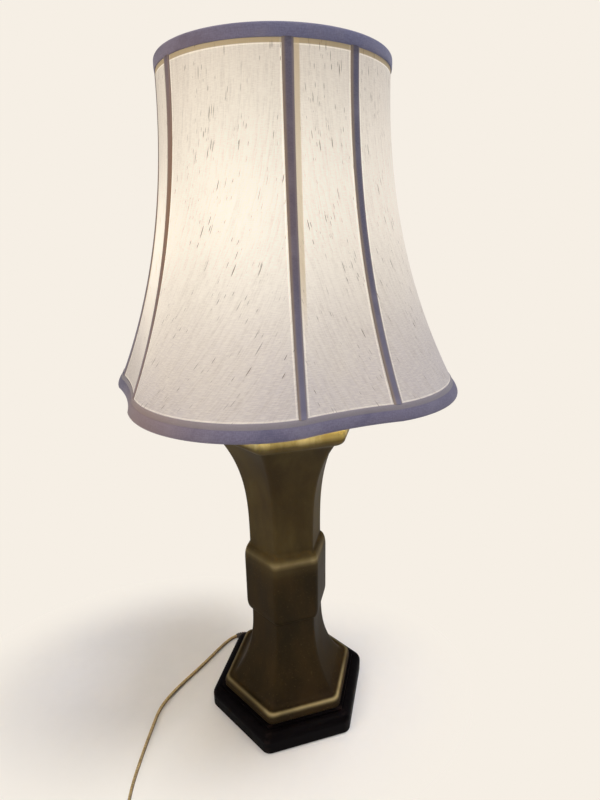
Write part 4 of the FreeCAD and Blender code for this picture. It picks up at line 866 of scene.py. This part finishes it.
# The column's circumradii and levels, in metres
CORNER_SHARE = 0.12
FOOT_RADIUS = 0.0837
FOOT_EDGE = 0.0308
ROLL_REACH = 0.0065
ROLL_HEIGHT = 0.008
SKIRT_REACH = 0.028
SKIRT_HEIGHT = 0.0952
WAIST_RADIUS = 0.044
WAIST_LEVEL = 0.134
BAND_RADIUS = 0.050
BAND_BOTTOM = 0.148
BAND_TOP = 0.206
SHAFT_RADIUS = 0.043
SHAFT_BOTTOM = 0.223
FLARE_RADIUS = 0.075
FLARE_LEVEL = 0.362
LIP_RADIUS = 0.086
LIP_BOTTOM = 0.36998
RIM_LEVEL = 0.381


def hexagon_ring(radius, height, rounding):
    """Points round a hexagon with rounded corners, two of them on the X axis."""
    per_side = 7
    per_corner = 9
    found = []
    half = math.radians(30)
    setback = rounding * math.tan(half)
    centre = radius - rounding / math.cos(half)
    for k in range(6):
        for step in range(per_corner):
            angle = math.radians(60 * k - 30 + 60 * step / (per_corner - 1))
            middle = polar(centre, 60 * k)
            found.append(middle + Vector((rounding * math.cos(angle), rounding * math.sin(angle), height)))
        start = found[-1]
        away = polar(1.0, 60 * k + 120)
        length = radius - 2 * setback
        for step in range(1, per_side):
            found.append(start + away * (length * step / per_side))
    return found


def shoulder(inner, outer, inner_level, outer_level):
    """A quarter ellipse from an inner radius out to an outer one."""
    count = 8
    found = []
    for k in range(count + 1):
        angle = math.radians(90 * k / count)
        found.append((inner + (outer - inner) * math.sin(angle),
                      inner_level + (outer_level - inner_level) * (1 - math.cos(angle))))
    return found


def column_profile():
    """Circumradius and height of the column, from the foot up and over the rim to the deck."""
    found = [(FOOT_RADIUS - 0.0004, 0.0273), (FOOT_RADIUS, 0.0279), (FOOT_RADIUS, FOOT_EDGE)]
    for k in range(13):
        angle = math.radians(110 * k / 12)
        found.append((FOOT_RADIUS - ROLL_REACH * (1 - math.cos(angle)),
                      FOOT_EDGE + ROLL_HEIGHT * math.sin(angle)))
    for k in range(1, 31):
        rest = 1 - k / 30
        found.append((WAIST_RADIUS + SKIRT_REACH * rest ** 2.7, WAIST_LEVEL - SKIRT_HEIGHT * rest))
    found += shoulder(WAIST_RADIUS, BAND_RADIUS, WAIST_LEVEL, BAND_BOTTOM)[1:]
    found += [(BAND_RADIUS, BAND_BOTTOM + (BAND_TOP - BAND_BOTTOM) * k / 8) for k in range(1, 8)]
    found += shoulder(SHAFT_RADIUS, BAND_RADIUS, SHAFT_BOTTOM, BAND_TOP)[::-1]
    for k in range(1, 31):
        rise = k / 30
        found.append((SHAFT_RADIUS + (FLARE_RADIUS - SHAFT_RADIUS) * rise ** 3.3,
                      SHAFT_BOTTOM + (FLARE_LEVEL - SHAFT_BOTTOM) * rise))
    found += shoulder(FLARE_RADIUS, LIP_RADIUS, FLARE_LEVEL, LIP_BOTTOM)[1:]
    found += [(LIP_RADIUS, LIP_BOTTOM + 0.0012 * k) for k in range(1, 5)]
    found += shoulder(0.0822, LIP_RADIUS, RIM_LEVEL, 0.37625)[::-1]
    found += [(0.0800, RIM_LEVEL), (0.0776, 0.3809), (0.0770, 0.3804), (0.0770, 0.3787),
              (0.0764, 0.3785), (0.0600, 0.3785), (0.0330, 0.3785)]
    return found


def glaze_break_and_highlight(radius, height):
    """How far the glaze is painted pale: on the foot's roll and the band's shoulder its break with a painted
    highlight, and on the lip painted bulb light that fades downwards.
    """
    lip_start = LIP_BOTTOM - 0.00098
    if height > lip_start:
        return 0.0, min(1.0, (height - lip_start) / 0.0060)
    if 0.2 < height < SHAFT_BOTTOM + 0.0005:
        return 0.52 * math.exp(-((height - 0.2155) / 0.0030) ** 2) + 0.04, 0.0
    if radius > 0.0745 and height > 0.0300:
        angle = math.degrees(math.atan2((height - FOOT_EDGE) / ROLL_HEIGHT,
                                        (radius - FOOT_RADIUS + ROLL_REACH) / ROLL_REACH))
        return math.exp(-((angle - 64) / 17) ** 2), 0.0
    return 0.0, 0.0


def make_column():
    """Glazed column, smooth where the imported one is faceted, with softly rounded corners."""
    rings = []
    coordinates = []
    break_and_highlight = []
    for radius, height in column_profile():
        rings.append(hexagon_ring(radius, height, CORNER_SHARE * radius))
        coordinates += [(0.001 * k, height) for k in range(len(rings[-1]))]
        break_and_highlight += [glaze_break_and_highlight(radius, height)] * len(rings[-1])
    piece = swept("glazed_column", rings, GLAZE, coordinates)
    add_weave(piece, break_and_highlight, "break_and_highlight")
    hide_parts("ceramic_column")
    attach(piece, "base")


def turned(name, profile, material, node, body):
    """A turned piece: radius and height, from the bottom up, closed at both ends."""
    count = 56
    rings = []
    coordinates = []
    for radius, height in profile:
        rings.append([polar(radius, 360 * k / count, height) for k in range(count)])
        coordinates += [(0.001 * k, height) for k in range(count)]
    piece = swept(name, rings, material, coordinates)
    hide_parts(node)
    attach(piece, body)


def make_finial():
    """Finial with smooth turnings."""
    low, high = (corner.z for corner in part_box("finial"))
    tall = high - low
    flange = 0.00615
    urn = 0.0075
    profile = [(0.0030, low), (0.00600, low), (flange, low)]
    for k in range(9):
        angle = math.radians(-80 + 160 * k / 8)
        profile.append((flange + 0.00130 * math.cos(angle), low + tall * (0.07 + 0.065 * math.sin(angle))))
    for share, across in ((0.15, 0.80), (0.17, 0.66), (0.20, 0.57), (0.24, 0.52), (0.29, 0.54), (0.34, 0.62),
                          (0.40, 0.76), (0.46, 0.87), (0.52, 0.94), (0.57, 0.955), (0.62, 0.93), (0.68, 0.86),
                          (0.74, 0.72), (0.80, 0.52), (0.84, 0.41), (0.87, 0.36), (0.90, 0.35), (0.93, 0.34),
                          (0.96, 0.30), (0.985, 0.20), (1.0, 0.06)):
        profile.append((urn * across, low + tall * share))
    turned("finial_turning", profile, BRASS, "finial", "finial")


def make_bulb():
    """Frosted globe that narrows to the screw base."""
    low, high = (corner.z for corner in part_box("bulb_glass"))
    radius = 0.030
    neck = 0.0126
    middle = high - radius
    rise = middle - low - 0.006
    flare = (neck ** 2 + rise ** 2 - radius ** 2) / (2 * (radius - neck))
    reach = math.atan2(rise, neck + flare)
    profile = [(neck - 0.0004, low), (neck, low + 0.0004), (neck, low + 0.006)]
    for k in range(1, 17):
        angle = reach * k / 16
        profile.append((neck + flare * (1 - math.cos(angle)), low + 0.006 + flare * math.sin(angle)))
    for k in range(1, 25):
        angle = -reach + (math.pi / 2 + reach) * k / 24
        profile.append((max(radius * math.cos(angle), 0.0004), middle + radius * math.sin(angle)))
    turned("bulb_globe", profile, LIT_GLASS, "bulb_glass", "bulb")


# Studio

BACKDROP = srgb(246, 239, 229)


def make_floor():
    """Pale floor that takes light and shadow near the lamp and meets the backdrop's tone further off."""
    made = new_material("pale_floor", Roughness=0.85, Specular_IOR_Level=0.1)
    tree = made.node_tree
    where = object_point(made)
    grain = noise(made, where, 60.0, 2.0)
    to_shader(made, mix(made, grain, srgb(236, 236, 236), srgb(240, 240, 240)), "Base Color")
    narrow = add(made, "ShaderNodeVectorMath", {0: where, 1: (1.0, 1.4, 1.0)}, operation="MULTIPLY")
    narrow = narrow.outputs[0]
    shaded = add(made, "ShaderNodeVectorMath", {0: narrow, 1: (-0.18, 0.112, 0.0)}, operation="DISTANCE")
    close = add(made, "ShaderNodeVectorMath", {0: narrow, 1: (-0.01, -0.014, 0.0)}, operation="DISTANCE")
    close = maths(made, "ADD", close.outputs["Value"], 0.018)
    far = spread(made, maths(made, "MINIMUM", shaded.outputs["Value"], close), 0.08, 0.27)
    tone = add(made, "ShaderNodeEmission", {"Color": BACKDROP, "Strength": 1.0})
    rays = add(made, "ShaderNodeLightPath")
    seen = maths(made, "MAXIMUM", rays.outputs["Is Camera Ray"], rays.outputs["Is Glossy Ray"])
    seen = maths(made, "MAXIMUM", seen, rays.outputs["Is Transmission Ray"])
    join = add(made, "ShaderNodeMixShader", {0: maths(made, "MULTIPLY", seen, far),
                                             1: made.node_tree.nodes["Principled BSDF"].outputs[0],
                                             2: tone.outputs[0]})
    tree.links.new(join.outputs[0], tree.nodes["Material Output"].inputs["Surface"])
    floor = new_piece("floor", [(-6, -6, 0), (6, -6, 0), (6, 6, 0), (-6, 6, 0)], [(0, 1, 2, 3)], made)


def make_world():
    """A pale backdrop for the camera and reflections, and a dimmer even light for the object."""
    world = bpy.data.worlds.new("surround")
    bpy.context.scene.world = world
    world.use_nodes = True
    tree = world.node_tree
    light = tree.nodes["Background"]
    light.inputs[0].default_value = srgb(240, 240, 244)
    light.inputs[1].default_value = 0.36
    backdrop = tree.nodes.new("ShaderNodeBackground")
    backdrop.inputs[0].default_value = BACKDROP
    backdrop.inputs[1].default_value = 1.0
    rays = tree.nodes.new("ShaderNodeLightPath")
    join = tree.nodes.new("ShaderNodeMixShader")
    tree.links.new(rays.outputs["Is Camera Ray"], join.inputs[0])
    tree.links.new(light.outputs[0], join.inputs[1])
    tree.links.new(backdrop.outputs[0], join.inputs[2])
    tree.links.new(join.outputs[0], tree.nodes["World Output"].inputs["Surface"])


def make_lights():
    """Warm light from the left, cool from the right, and the lamp's own light inside the shade."""
    for name, place, aim, power, width, color in (
            ("warm_left", (-1.3, -0.5, 1.2), (0, 0, 0.45), 9, 0.8, (1.0, 0.89, 0.76)),
            ("cool_right", (0.85, -0.30, 2.5), (0, 0, 0.2), 26, 0.6, (0.88, 0.90, 1.0)),
            ("front", (-0.3, -1.6, 1.2), (0, 0, 0.5), 4, 1.2, (1.0, 0.96, 0.92))):
        data = bpy.data.lights.new(name, "AREA")
        data.energy = power
        data.size = width
        data.color = color
        light = bpy.data.objects.new(name, data)
        bpy.context.scene.collection.objects.link(light)
        light.location = place
        light.rotation_euler = (Vector(aim) - Vector(place)).to_track_quat("-Z", "Y").to_euler()
    data = bpy.data.lights.new("lamp_light", "POINT")
    data.energy = 1.1
    data.color = (1.0, 0.88, 0.64)
    data.shadow_soft_size = 0.02
    light = bpy.data.objects.new("lamp_light", data)
    bpy.context.scene.collection.objects.link(light)
    light.location = (0.045, -0.035, 0.455)
    light.visible_camera = False


make_camera()
make_cord()
make_panels()
make_trims()
make_tapes()
make_lining()
make_column()
make_finial()
make_bulb()
make_floor()
make_world()
make_lights()
bpy.context.scene.view_settings.view_transform = "Standard"
